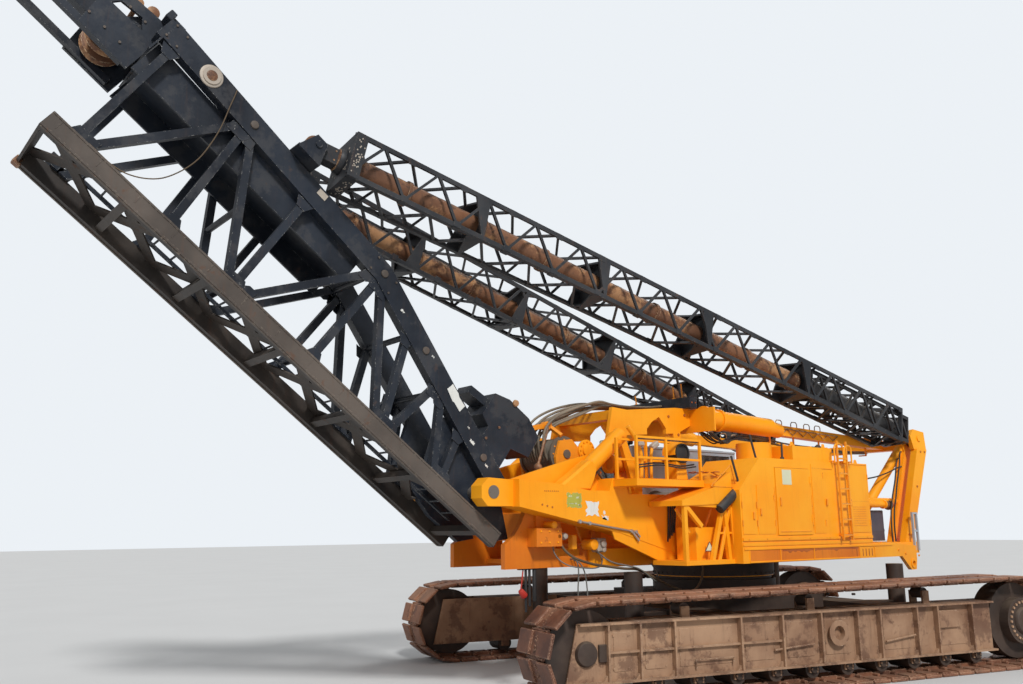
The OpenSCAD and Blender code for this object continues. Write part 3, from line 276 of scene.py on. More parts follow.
class Finish(Enum):
    """Every finish on the machine."""

    AMBER = Worn("amber_paint", (251, 157, 14), (255, 172, 30), (140, 92, 56), rust=(178, 84, 24),
                 dust=(226, 160, 70), chips=0.14, rusting=0.1, dusting=0.1, streaks=0.16, rough=0.42,
                 coat=0.05, gleam=0.3, grain=0.08)
    AMBER_OLD = Worn("amber_old", (238, 142, 16), (248, 160, 32), (104, 70, 48), rust=(140, 70, 28),
                     dust=(200, 150, 90), rusting=0.25, dusting=0.35, rough=0.48)
    LEADER = Worn("leader_paint", (18, 24, 34), (34, 42, 54), (170, 168, 162), rust=(76, 58, 50),
                  dust=(96, 94, 90), chips=0.36, rough=0.42, mottle=(66, 66, 68), mottling=0.5)
    RAIL = Worn("rail_steel", (74, 66, 60), (98, 88, 80), (142, 128, 114), rust=(98, 66, 48),
                dust=(126, 114, 100), chips=0.4, rusting=0.45, dusting=0.35, streaks=0.4)
    CAGE = Worn("cage_paint", (30, 33, 38), (52, 54, 58), (120, 108, 98), rust=(94, 62, 46),
                dust=(110, 104, 96), chips=0.4, rusting=0.35, dusting=0.35)
    TUBE = Worn("tube_rust", (96, 64, 46), (138, 92, 62), (222, 194, 158), rust=(46, 36, 34),
                dust=(168, 140, 116), chips=0.6, rusting=0.6, dusting=0.35, streaks=0.7,
                mottle=(190, 142, 98), mottling=0.75)
    # Dark rail steel for the rails node: partly its own colour, partly painted shade on every face but the
    # outer side; rust and chips are real wear.
    LACE = Worn("lace_steel", (40, 36, 34), (62, 54, 48), (128, 116, 104), rust=(88, 56, 38),
                dust=(112, 98, 84), chips=0.35, rusting=0.45, streaks=0.4)
    BARREL = Worn("barrel_paint", (24, 26, 30), (44, 46, 50), (110, 100, 92), rust=(80, 56, 44),
                  rusting=0.25, rough=0.4)
    SHOE = Worn("shoe_steel", (104, 64, 46), (150, 98, 70), (196, 158, 130), rust=(58, 36, 28),
                dust=(176, 142, 116), chips=0.6, rusting=0.5, dusting=0.45, rough=0.55, grain=0.5,
                mottle=(74, 46, 36), mottling=0.6)
    GEAR = Worn("gear_rust", (134, 100, 76), (172, 136, 106), (196, 172, 148), rust=(78, 48, 34),
                dust=(184, 158, 132), chips=0.4, rusting=0.5, dusting=0.4, streaks=0.6, rough=0.62,
                grain=0.4, mottle=(94, 62, 46), mottling=0.7)
    DARK_GEAR = Worn("dark_gear", (46, 36, 31), (66, 50, 42), (104, 84, 70), rust=(60, 40, 30), rusting=0.4,
                     rough=0.6, grain=0.4)
    CAB = Worn("cab_paint", (164, 172, 180), (186, 190, 194), (110, 92, 78), chips=0.2, rusting=0.15,
               dusting=0.35, rough=0.45)
    GREY = Worn("grey_steel", (128, 130, 132), (156, 156, 154), (96, 80, 70), rough=0.48, metal=0.3)
    STEEL = Worn("pin_steel", (120, 112, 104), (150, 142, 132), (190, 184, 174), rusting=0.45, dusting=0.2,
                 rough=0.38, metal=0.75)
    ROPE = Worn("rope_steel", (98, 92, 82), (124, 116, 104), (70, 62, 54), chips=0.2, rusting=0.4,
                dusting=0.4, rough=0.6, metal=0.35)
    RUBBER = Worn("hose_rubber", (26, 26, 27), (44, 43, 42), (66, 64, 60), chips=0.1, rusting=0.05,
                  dusting=0.5, streaks=0.1, rough=0.62)
    WHITE = Worn("white_patch", (222, 222, 216), (236, 236, 230), (120, 100, 80), chips=0.35, rusting=0.2,
                 rough=0.55)
    LIME = Worn("lime_patch", (170, 172, 58), (186, 178, 84), (214, 214, 200), chips=0.6, rusting=0.2,
                rough=0.55)
    RED = Worn("red_paint", (176, 40, 30), (196, 60, 46), (110, 60, 50))
    TRIM = Worn("dark_trim", (34, 34, 36), (50, 50, 52), (90, 88, 84), chips=0.1, dusting=0.4, rough=0.6)
    STAIN = Worn("rust_stain", (168, 84, 30), (196, 112, 40), (110, 66, 40), rusting=0.4, dusting=0.2,
                 rough=0.6)
    # Amber darkened with painted shade, for the bracket's lower frame and the deck's recess; its rust, dust
    # and streaks are real wear.
    AMBER_DEEP = Worn("amber_deep", (214, 112, 10), (232, 132, 20), (96, 64, 44), rust=(120, 58, 24),
                      dust=(180, 128, 76), chips=0.25, rusting=0.25, dusting=0.25, streaks=0.35)
    SLACK = Worn("slack_rope", (112, 102, 88), (140, 128, 110), (90, 78, 66), chips=0.2, dusting=0.4,
                 rough=0.6)
    PALE = Worn("pale_plate", (206, 208, 176), (224, 222, 190), (150, 140, 110), chips=0.25, rusting=0.1,
                dusting=0.25, rough=0.45)
    SILVER = Worn("zinc_rod", (168, 168, 166), (196, 196, 192), (120, 112, 104), chips=0.2, rusting=0.15,
                  dusting=0.2, rough=0.32, metal=0.8)
    VALVE = Worn("valve_body", (176, 164, 150), (204, 194, 180), (110, 86, 66), chips=0.35, rusting=0.35,
                 dusting=0.4, metal=0.3)
    GREY_HOSE = Worn("hose_grey", (92, 92, 88), (122, 120, 114), (150, 146, 138), chips=0.15, rusting=0.1,
                     dusting=0.5, rough=0.6)
    BROWN_HOSE = Worn("hose_brown", (84, 68, 48), (112, 92, 66), (134, 116, 90), chips=0.15, dusting=0.5,
                      rough=0.62)
    SLATE = Worn("slate_panel", (58, 64, 78), (80, 86, 100), (120, 112, 104), chips=0.15, rusting=0.1,
                 dusting=0.35, rough=0.4)
    PANE = Pane("window_glass", (40, 48, 56))


class Paints:
    """Builds each finish once."""

    def __init__(self) -> None:
        """Start with no material."""
        self._made: dict[Finish, bpy.types.Material] = {}

    def get(self, finish: Finish) -> bpy.types.Material:
        """Return the material of a finish."""
        if finish not in self._made:
            self._made[finish] = finish.value.build()
        return self._made[finish]


PAINTS = Paints()


# Placing


@dataclass(frozen=True)
class Layout:
    """Where the assemblies lie, in metres, as the CAD source has them."""

    mid_x: float = 2.98772
    axis_x: float = -0.073
    gear_turn: float = -13.8
    foot: Trio = (4.724, 0.0, 1.836)
    lean: float = 37.0
    tilt: float = 15.0
    hinge: Pair = (0.54, 0.42)
    knuckle: Trio = (4.804, 0.623, 2.083)
    pin: Trio = (-3.874, 1.415, 3.523)

    @property
    def upper(self) -> Matrix:
        """Placing of the upper works."""
        return Matrix.Translation((-self.mid_x, 0, 0))

    @property
    def lower(self) -> Matrix:
        """Placing of the running gear."""
        return (Matrix.Translation((self.axis_x - self.mid_x, 0, 0))
                @ Matrix.Rotation(math.radians(self.gear_turn), 4, "Z"))

    @property
    def leader(self) -> Matrix:
        """Placing of the leader: x along it, z behind its rail face."""
        return (self.upper @ Matrix.Translation(self.foot)
                @ Matrix.Rotation(-math.radians(self.lean), 4, "Y"))

    def _knuckle_at(self, lean: float) -> Vector:
        """Return the upper pin, in the upper works' frame, at a lean in degrees."""
        turn = math.radians(lean)
        hinge_u, hinge_w = self.hinge
        base = math.radians(self.lean)
        hinge = Vector((self.foot[0] + hinge_u * math.cos(base) - hinge_w * math.sin(base), 0,
                        self.foot[2] + hinge_u * math.sin(base) + hinge_w * math.cos(base)))
        along, behind = self.knuckle[0] - hinge_u, self.knuckle[2] - hinge_w
        return hinge + Vector((along * math.cos(turn) - behind * math.sin(turn), self.knuckle[1],
                               along * math.sin(turn) + behind * math.cos(turn)))

    @property
    def stay_length(self) -> float:
        """Length of a backstay between its pins."""
        return (self._knuckle_at(self.lean) - Vector(self.pin)).length

    @property
    def stay(self) -> Matrix:
        """Placing of the left backstay: x along it, y along its rear pin."""
        line = self._knuckle_at(self.lean) - Vector(self.pin)
        low = self._knuckle_at(self.lean - self.tilt) - Vector(self.pin)
        along = line.normalized()
        across = low.cross(line).normalized()
        if across.y < 0:
            across = -across
        rise = along.cross(across).normalized()
        turn = Matrix((along, rise.cross(along), rise)).transposed().to_4x4()
        return self.upper @ Matrix.Translation(self.pin) @ turn


PLAN = Layout()
FLIP = Matrix.Scale(-1, 4, ASIDE)


def waver(x: float, y: float, z: float) -> float:
    """Return smooth noise, between about -1 and 1, at a place."""
    return noise.noise(Vector((x, y, z)))


def link(name: str, data: Any) -> bpy.types.Object:
    """Return a new object that holds the data, linked to the scene."""
    new = bpy.data.objects.new(name, data)
    bpy.context.scene.collection.objects.link(new)
    return new


def edges_of(verts: Iterable[bmesh.types.BMVert]) -> set[bmesh.types.BMEdge]:
    """Return every edge that ends in one of the vertices."""
    return {e for v in verts for e in v.link_edges}


def circle(centre: Point, radius: float, count: int, plane: str = "xz") -> list[list[float]]:
    """Return points spread evenly on a circle.

    Args:
        centre: its centre.
        radius: its radius.
        count: how many points there are.
        plane: the two axes that it lies in; the first point is out along the first.

    Returns:
        The points.
    """
    first, second = ("xyz".index(axis) for axis in plane)
    spots = []
    for k in range(count):
        turn, spot = math.tau * k / count, list(centre)
        spot[first] += radius * math.cos(turn)
        spot[second] += radius * math.sin(turn)
        spots.append(spot)
    return spots


def arc(centre: Sequence[float], radii: Sequence[float], turns: Iterable[float]) -> list[Pair]:
    """Return the points of an arc at the given angles, in x and z."""
    (x, z), (wide, high) = centre, radii
    return [(x + wide * math.cos(turn), z + high * math.sin(turn)) for turn in turns]


def smooth(points: Sequence[Point], steps: int = 4) -> list[Vector]:
    """Return points of the smooth curve through the given ones."""
    path = [Vector(p) for p in points]
    whole = [path[0] * 2 - path[1], *path, path[-1] * 2 - path[-2]]
    out = []
    for before, start, end, after in zip(whole, whole[1:], whole[2:], whole[3:]):
        for k in range(steps):
            t = k / steps
            out.append((start * 2 + (end - before) * t + (before * 2 - start * 5 + end * 4 - after) * t ** 2
                        + (start * 3 - before - end * 3 + after) * t ** 3) / 2)
    return [*out, path[-1]]


class Part:
    """A mesh under construction, in metres, in the frame of one assembly."""

    def __init__(self, name: str, body: str = "upper", placing: Matrix | None = None) -> None:
        """Start an empty mesh.

        Args:
            name: the finished piece's name.
            body: the CAD body that it moves with.
            placing: its assembly's frame, the leader's or the upper works' if none is given.
        """
        usual = PLAN.leader if body == "leader" else PLAN.upper
        self.name, self.body, self.placing = name, body, placing or usual
        self.bm = bmesh.new()

    def _set(self, geometry: Iterable[Any], place: Matrix) -> list[bmesh.types.BMVert]:
        """Move new geometry to its place and return its vertices."""
        verts = [v for v in geometry if isinstance(v, bmesh.types.BMVert)]
        bmesh.ops.transform(self.bm, matrix=place, verts=verts)
        return verts

    def _bevel(self, edges: Iterable[bmesh.types.BMEdge], offset: float, segments: int = 1) -> None:
        """Bevel edges, if the offset isn't zero."""
        if offset > 0:
            bmesh.ops.bevel(self.bm, geom=list(edges), offset=offset, segments=segments, affect="EDGES",
                            profile=0.5, material=-1, clamp_overlap=True)

    def _block(self, place: Matrix, bevel: float) -> Part:
        """Add a unit cube, placed and bevelled."""
        new = bmesh.ops.create_cube(self.bm, size=1.0)
        self._bevel(edges_of(self._set(new["verts"], place)), bevel)
        return self

    def box(self, low: Point, high: Point, bevel: float = 0.004, turn: Matrix | None = None) -> Part:
        """Add a box between two corners, turned about its middle if a turn is given."""
        lo, hi = Vector(low), Vector(high)
        size = Matrix.Diagonal((*(hi - lo), 1.0))
        return self._block(Matrix.Translation((lo + hi) / 2) @ (turn or Matrix()) @ size, bevel)

    @staticmethod
    def _line(start: Point, end: Point) -> tuple[Matrix, float]:
        """Return the frame whose z runs from start to end, at its middle, and the length."""
        a, b = Vector(start), Vector(end)
        way = b - a
        return Matrix.Translation((a + b) / 2) @ way.to_track_quat("Z", "Y").to_matrix().to_4x4(), way.length

    def rod(self, start: Point, end: Point, radius: float, tip: float | None = None, sides: int = 16,
            bevel: float = 0.0) -> Part:
        """Add a round bar, or a cone where the tip's radius differs."""
        frame, length = self._line(start, end)
        new = bmesh.ops.create_cone(self.bm, cap_ends=True, segments=sides, radius1=radius,
                                    radius2=radius if tip is None else tip, depth=length)
        verts = self._set(new["verts"], frame)
        rim = [e for e in edges_of(verts) if any(len(f.verts) > 4 for f in e.link_faces)]
        self._bevel(rim, bevel, 2)
        return self

    def beam(self, start: Point, end: Point, wide: float, high: float, bevel: float = 0.003) -> Part:
        """Add a bar of rectangular section; its high side is turned to the y axis."""
        frame, length = self._line(start, end)
        way = (Vector(end) - Vector(start)).normalized()
        side = Vector(ASIDE) if abs(way.y) < 0.9 else Vector(UPWARD)
        across = (side - way * side.dot(way)).normalized()
        turn = Matrix((across.cross(way), across, way)).transposed().to_4x4()
        size = Matrix.Diagonal((wide, high, length, 1.0))
        return self._block(Matrix.Translation(frame.translation) @ turn @ size, bevel)

    def ring(self, centre: Point, axis: Point, outer: float, inner: float, thick: float,
             sides: int = 24) -> Part:
        """Add a flat ring, its near face at the centre and its back along the axis."""
        frame = Vector(axis).to_track_quat("Z", "Y").to_matrix().to_4x4()
        corners = [self.bm.verts.new((x, 0, z)) for x, z in ((inner, 0), (outer, 0), (outer, thick),
                                                             (inner, thick))]
        face = self.bm.faces.new(corners)
        geometry = [face, *corners, *face.edges]
        out = bmesh.ops.spin(self.bm, geom=geometry, cent=(0, 0, 0), axis=UPWARD, angle=math.tau,
                             steps=sides, use_merge=True, use_duplicate=False)
        last = [v for v in out["geom_last"] if isinstance(v, bmesh.types.BMVert)]
        grown = {*corners, *last}
        front = list(grown)
        while front:
            near = [e.other_vert(v) for v in front for e in v.link_edges]
            front = [v for v in dict.fromkeys(near) if v not in grown]
            grown.update(front)
        inside = [f for f in {f for v in grown for f in v.link_faces}
                  if all(len(e.link_faces) > 2 for e in f.edges)]
        bmesh.ops.delete(self.bm, geom=inside, context="FACES_ONLY")
        self._set(list(grown), Matrix.Translation(centre) @ frame)
        return self

    def prism(self, outline: Sequence[Sequence[float]], near: float, far: float,
              bevel: float = 0.004) -> Part:
        """Add a plate: an outline in x and z, drawn out from near to far in y."""
        verts = [self.bm.verts.new((x, near, z)) for x, z in outline]
        face = self.bm.faces.new(verts)
        out = bmesh.ops.extrude_face_region(self.bm, geom=[face])
        moved = [v for v in out["geom"] if isinstance(v, bmesh.types.BMVert)]
        bmesh.ops.translate(self.bm, vec=(0, far - near, 0), verts=moved)
        self._bevel(edges_of(verts + moved), bevel)
        return self

    def pipe(self, points: Sequence[Point], radius: float, sides: int = 10) -> Part:
        """Add a round bar that follows points, drawn out from ring to ring."""
        path = [Vector(p) for p in points]
        ways = [(b - a).normalized() for a, b in zip(path, path[1:])]
        new = bmesh.ops.create_circle(self.bm, cap_ends=True, segments=sides, radius=radius)
        turn = ways[0].to_track_quat("Z", "Y")
        ring = self._set(new["verts"], Matrix.Translation(path[0]) @ turn.to_matrix().to_4x4())
        face = next(iter(set(ring[0].link_faces)))
        for index in range(1, len(path)):
            before = ways[index - 1]
            after = ways[min(index, len(ways) - 1)]
            way = (before + after).normalized()
            out = bmesh.ops.extrude_face_region(self.bm, geom=[face])
            face = next(f for f in out["geom"] if isinstance(f, bmesh.types.BMFace))
            heading = turn @ Vector(UPWARD)
            bend = heading.rotation_difference(way)
            place = (Matrix.Translation(path[index]) @ bend.to_matrix().to_4x4()
                     @ Matrix.Translation(-path[index - 1]))
            bmesh.ops.transform(self.bm, matrix=place, verts=list(face.verts))
            turn = bend @ turn
        return self

    def curve(self, points: Sequence[Point], radius: float, sides: int = 10) -> Part:
        """Add a round bar along the smooth curve through points."""
        return self.pipe(smooth(points), radius, sides)

    def bolts(self, spots: Iterable[Point], axis: Point, radius: float = 0.016,
              high: float = 0.014) -> Part:
        """Add six-sided bolt heads that stand up along an axis."""
        way = Vector(axis).normalized()
        for spot in spots:
            base = Vector(spot)
            self.rod(base - way * 0.002, base + way * high, radius, sides=6)
        return self

    def copies(self, template: Part, places: Iterable[Matrix]) -> Part:
        """Add copies of another part's mesh."""
        mesh = bpy.data.meshes.new("template")
        template.bm.to_mesh(mesh)
        for place in places:
            before = set(self.bm.verts)
            self.bm.from_mesh(mesh)
            verts = [v for v in self.bm.verts if v not in before]
            bmesh.ops.transform(self.bm, matrix=place, verts=verts)
        bpy.data.meshes.remove(mesh)
        return self

    def mirrored(self) -> Part:
        """Add the mirror image across the middle plane."""
        geometry = self.bm.verts[:] + self.bm.edges[:] + self.bm.faces[:]
        out = bmesh.ops.duplicate(self.bm, geom=geometry)
        verts = [g for g in out["geom"] if isinstance(g, bmesh.types.BMVert)]
        faces = [g for g in out["geom"] if isinstance(g, bmesh.types.BMFace)]
        bmesh.ops.scale(self.bm, vec=(1, -1, 1), verts=verts)
        bmesh.ops.reverse_faces(self.bm, faces=faces)
        return self

    def done(self, finish: Finish, angle: float = SMOOTH_ANGLE) -> bpy.types.Object:
        """Close the mesh, place it and let it ride on its body.

        Args:
            finish: its finish.
            angle: the sharpest angle, in degrees, that is still shaded smooth.

        Returns:
            The finished object.
        """
        bmesh.ops.transform(self.bm, matrix=self.placing, verts=self.bm.verts[:])
        bmesh.ops.recalc_face_normals(self.bm, faces=self.bm.faces[:])
        mesh = bpy.data.meshes.new(self.name)
        self.bm.to_mesh(mesh)
        self.bm.free()
        mesh.shade_smooth()
        mesh.set_sharp_from_angle(angle=math.radians(angle))
        mesh.materials.append(PAINTS.get(finish))
        piece = link(self.name, mesh)
        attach(piece, self.body)
        LOG.info("%s: %d faces on %s", self.name, len(mesh.polygons), self.body)
        return piece


class Side(Enum):
    """The two sides of the machine."""

    LEFT = False
    RIGHT = True

    @property
    def word(self) -> str:
        """The side's name in piece names."""
        return self.name.lower()

    def own(self, placing: Matrix) -> Matrix:
        """Return the placing; the right side is mirrored within the assembly."""
        return placing @ FLIP if self.value else placing

    def twin(self, placing: Matrix) -> Matrix:
        """Return the placing; the right side is mirrored across the upper works."""
        return FLIP @ placing if self.value else placing


# Running gear


@dataclass
class TrackLoop:
    """The shoes of one track, which stand for the CAD's plain loop."""

    side: Side
    gauge: float = 2.279
    width: float = 0.868
    drive_high: float = 1.30
    idler_high: float = 1.22
    reach: float = 4.28
    count: int = 58
    out: float = 0.07
    inside: float = 0.035
    channel: float = 0.095
    gap: float = 0.028
    rng_seed: float = 3.7

    def _run(self) -> tuple[float, float, float, float]:
        """Return the idler's and drive's pitch radius and place."""
        return (self.idler_high / 2 - self.out, self.drive_high / 2 - self.out,
                self.reach - self.idler_high / 2, self.reach - self.drive_high / 2)

    def _lengths(self) -> tuple[float, float, float, float]:
        """Return the length of each stretch of the pitch line."""
        idler, drive, front, rear = self._run()
        bottom = front + rear
        return bottom, math.pi * idler, math.hypot(bottom, 2 * (drive - idler)), math.pi * drive

    def _at(self, along: float) -> Pair:
        """Return the point on the pitch line."""
        idler, drive, front, rear = self._run()
        bottom, turn_front, top, turn_rear = self._lengths()
        along %= bottom + turn_front + top + turn_rear
        if along < bottom:
            return along - rear, self.out
        if along < bottom + turn_front:
            angle = (along - bottom) / idler - math.pi / 2
            return front + idler * math.cos(angle), self.out + idler + idler * math.sin(angle)
        if along < bottom + turn_front + top:
            part = (along - bottom - turn_front) / top
            return front - part * bottom, self.out + 2 * idler + part * 2 * (drive - idler)
        angle = (along - bottom - turn_front - top) / drive + math.pi / 2
        return drive * math.cos(angle) - rear, self.out + drive + drive * math.sin(angle)

    def _shoe(self, pitch: float) -> Part:
        """Return one shoe: x along the track, y across, z outward."""
        half, edge, mid = pitch / 2 - self.gap / 2, self.width / 2, self.channel
        shoe = Part("shoe")
        for s in SIDES:
            low, high = sorted((s * (mid + 0.004), s * (edge - 0.002)))
            shoe.box((-half, low, 0.026), (half, high, self.out - 0.001), 0.011)
            low, high = sorted((s * 0.13, s * (edge - 0.05)))
            shoe.box((-half + 0.03, low, 0.012), (half - 0.03, high, 0.03), 0.0)
            low, high = sorted((s * 0.05, s * 0.105))
            shoe.box((-half - 0.008, low, -self.inside + 0.004), (half - 0.02, high, 0.028), 0.008)
            shoe.ring((s * 0.055, 0.0, 0.0475), (0, 0, -1), 0.034, 0.019, 0.02, 10)
        shoe.box((-half, -mid - 0.01, 0.02), (half, mid + 0.01, self.out - 0.028), 0.006)
        shoe.box((-half * 0.5, -0.05, -self.inside + 0.006), (half * 0.4, 0.05, 0.025), 0.012)
        shoe.rod((half + 0.012, -0.2, 0.004), (half + 0.012, 0.2, 0.004), 0.024, sides=8)
        return shoe

    def build(self) -> None:
        """Build the loop and let it stand for the CAD node."""
        total = sum(self._lengths())
        pitch = total / self.count
        shoe = self._shoe(pitch)
        places = []
        for k in range(self.count):
            x0, z0 = self._at(k * pitch + self.gap / 2)
            x1, z1 = self._at((k + 1) * pitch - self.gap / 2)
            way = Vector((x1 - x0, 0, z1 - z0)).normalized()
            outward = Vector((way.z, 0, -way.x))
            across = outward.cross(way)
            turn = Matrix((way, across, outward)).transposed().to_4x4()
            wobble = 0.003 * waver(k * 0.9, self.rng_seed, 0.0)
            middle = Vector(((x0 + x1) / 2, self.gauge + wobble, (z0 + z1) / 2))
            places.append(Matrix.Translation(middle) @ turn)
        loop = Part(f"track_shoes_{self.side.word}", "base", self.side.own(PLAN.lower))
        loop.copies(shoe, places)
        shoe.bm.free()
        piece = loop.done(Finish.SHOE)
        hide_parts(f"track_{self.side.word}")


@dataclass
class SideFrame:
    """Bolts, caps, hubs and beads on one side frame."""

    side: Side
    gauge: float = 2.279
    face: float = 0.215
    rib: float = 0.300
    low: float = 0.267
    high: float = 0.955
    front: float = 3.67
    rear: float = 3.63
    idler_axle: float = 0.61
    drive_axle: float = 0.65
    roller_axle: float = 0.223
    roller_step: float = 0.6
    rollers: int = 10
    widest_plain: float = 0.4
    ribs: tuple[float, ...] = (3.4, 2.96, 2.47, 1.48, 0.82, 0.18, -0.45, -0.85, -1.53, -1.92, -2.6)

    def _part(self, stem: str) -> Part:
        """Start a piece of this side."""
        return Part(f"{stem}_{self.side.word}", "base", self.side.own(PLAN.lower))

    def _rollers_at(self) -> list[float]:
        """Return where the rollers' axles lie along the frame."""
        return [(k - (self.rollers - 1) / 2) * self.roller_step for k in range(self.rollers)]

    def _trim(self) -> None:
        """Build the panels between the ribs, their gussets, the pipes and the filler's ring."""
        y, low, high = self.gauge + self.face, self.low, self.high
        trim = self._part("frame_trim")
        for a, b in zip(self.ribs, self.ribs[1:]):
            if a - b > self.widest_plain:
                trim.box((b + 0.1, y - 0.001, low + 0.12), (a - 0.1, y + 0.008, high - 0.12))
        for x in self.ribs:
            trim.prism(((x + 0.013, low + 0.02), (x + 0.07, low + 0.02), (x + 0.013, low + 0.09)), y,
                       y + 0.05, 0.0)
        trim.pipe([(2.15, y + 0.03, 0.36), (2.17, y + 0.05, 0.46), (1.6, y + 0.05, 0.46),
                   (1.6, y + 0.03, 0.38)], 0.011, 8)
        for start, end, z in ((0.95, 0.3, 0.54), (-0.95, -1.5, 0.56)):
            trim.pipe([(start, y + 0.04, 0.5), (end, y + 0.04, z)], 0.014, 8)
        trim.box((-2.35, y, 0.62), (-1.98, y + 0.045, 0.86), 0.01)
        trim.ring((-0.1, self.gauge + self.rib - 0.012, 0.66), ASIDE, 0.165, 0.092, 0.014, 32)
        trim.done(Finish.GEAR)

    def build(self) -> None:
        """Build the pieces of this side."""
        self._trim()
        y_face, y_rib = self.gauge + self.face, self.gauge + self.rib
        bolts = self._part("frame_bolts")
        bolts.bolts(circle((-self.rear, y_rib, self.drive_axle), 0.27, 24), ASIDE, 0.019, 0.02)
        bolts.bolts([(x + s * 0.045, y_face + 0.012, self.roller_axle + 0.002)
                     for x in self._rollers_at() for s in SIDES], ASIDE, 0.014, 0.012)
        bolts.bolts([(x, y_face, z) for x in (3.3, 3.1, 2.86, 2.58) for z in (0.42, 0.8)], ASIDE)
        bolts.done(Finish.GEAR)
        hubs = self._part("frame_hubs")
        x, z = -self.rear, self.drive_axle
        hubs.rod((x, y_rib, z), (x, y_rib + 0.05, z), 0.2, 0.17, 40, 0.008)
        hubs.rod((x, y_rib + 0.05, z), (x, y_rib + 0.07, z), 0.08, 0.07, 24, 0.004)
        x, z = self.front, self.idler_axle
        hubs.rod((x, y_face, z), (x, y_face + 0.05, z), 0.15, 0.13, 32, 0.006)
        hubs.box((x - 0.3, y_face, z - 0.1), (x - 0.16, y_face + 0.04, z + 0.1), 0.006)
        z = self.roller_axle
        for x in self._rollers_at():
            hubs.rod((x, y_face, z), (x, y_face + 0.018, z), 0.06, 0.052, 20, 0.004)
        hubs.done(Finish.DARK_GEAR)


# Loose hoses and torn patches


@dataclass(frozen=True)
class Hose:
    """A loose hose or rope; building it logs the length of its route.

    Attributes:
        name: the piece's name.
        diameter: its diameter.
        route: the points that it passes, in the upper works' frame.
        finish: its finish.
        body: the body that it rides on.
    """

    name: str
    diameter: float
    route: tuple[Point, ...]
    finish: Finish = Finish.RUBBER
    lay: str = "hanging"
    stiffness: str = "stiff"
    body: str = "upper"

    def build(self) -> None:
        path = smooth(self.route)
        part = Part(self.name, self.body).pipe(path, self.diameter / 2)
        piece = part.done(self.finish)
        placed = [part.placing @ point for point in path]
        length = sum((b - a).length for a, b in zip(placed, placed[1:]))
        LOG.info("%s: %.2f m long", self.name, length)


def ragged(corner: Point, size: Point, seed: float, bite: float = 0.03) -> list[Pair]:
    """Return the torn outline of a worn patch.

    Args:
        corner: its lower rear corner, in x and z.
        size: its extent in x and z.
        seed: where in the noise its tears are read.
        bite: how deep the tears go.

    Returns:
        The outline's points in x and z.
    """
    (x0, z0), (wide, high) = corner, size
    steps = 7
    sides = (((0, 0), (1, 0)), ((1, 0), (1, 1)), ((1, 1), (0, 1)), ((0, 1), (0, 0)))
    out = []
    for (a, b), (c, d) in sides:
        for k in range(steps):
            t = k / steps
            s, r = a + (c - a) * t, b + (d - b) * t
            pull = bite * max(0.0, waver(s * 5 + seed, r * 5, seed) + 0.25)
            out.append((x0 + wide * s + pull * (0.5 - s) * 2, z0 + high * r + pull * (0.5 - r) * 2))
    return out


# Leader and stays


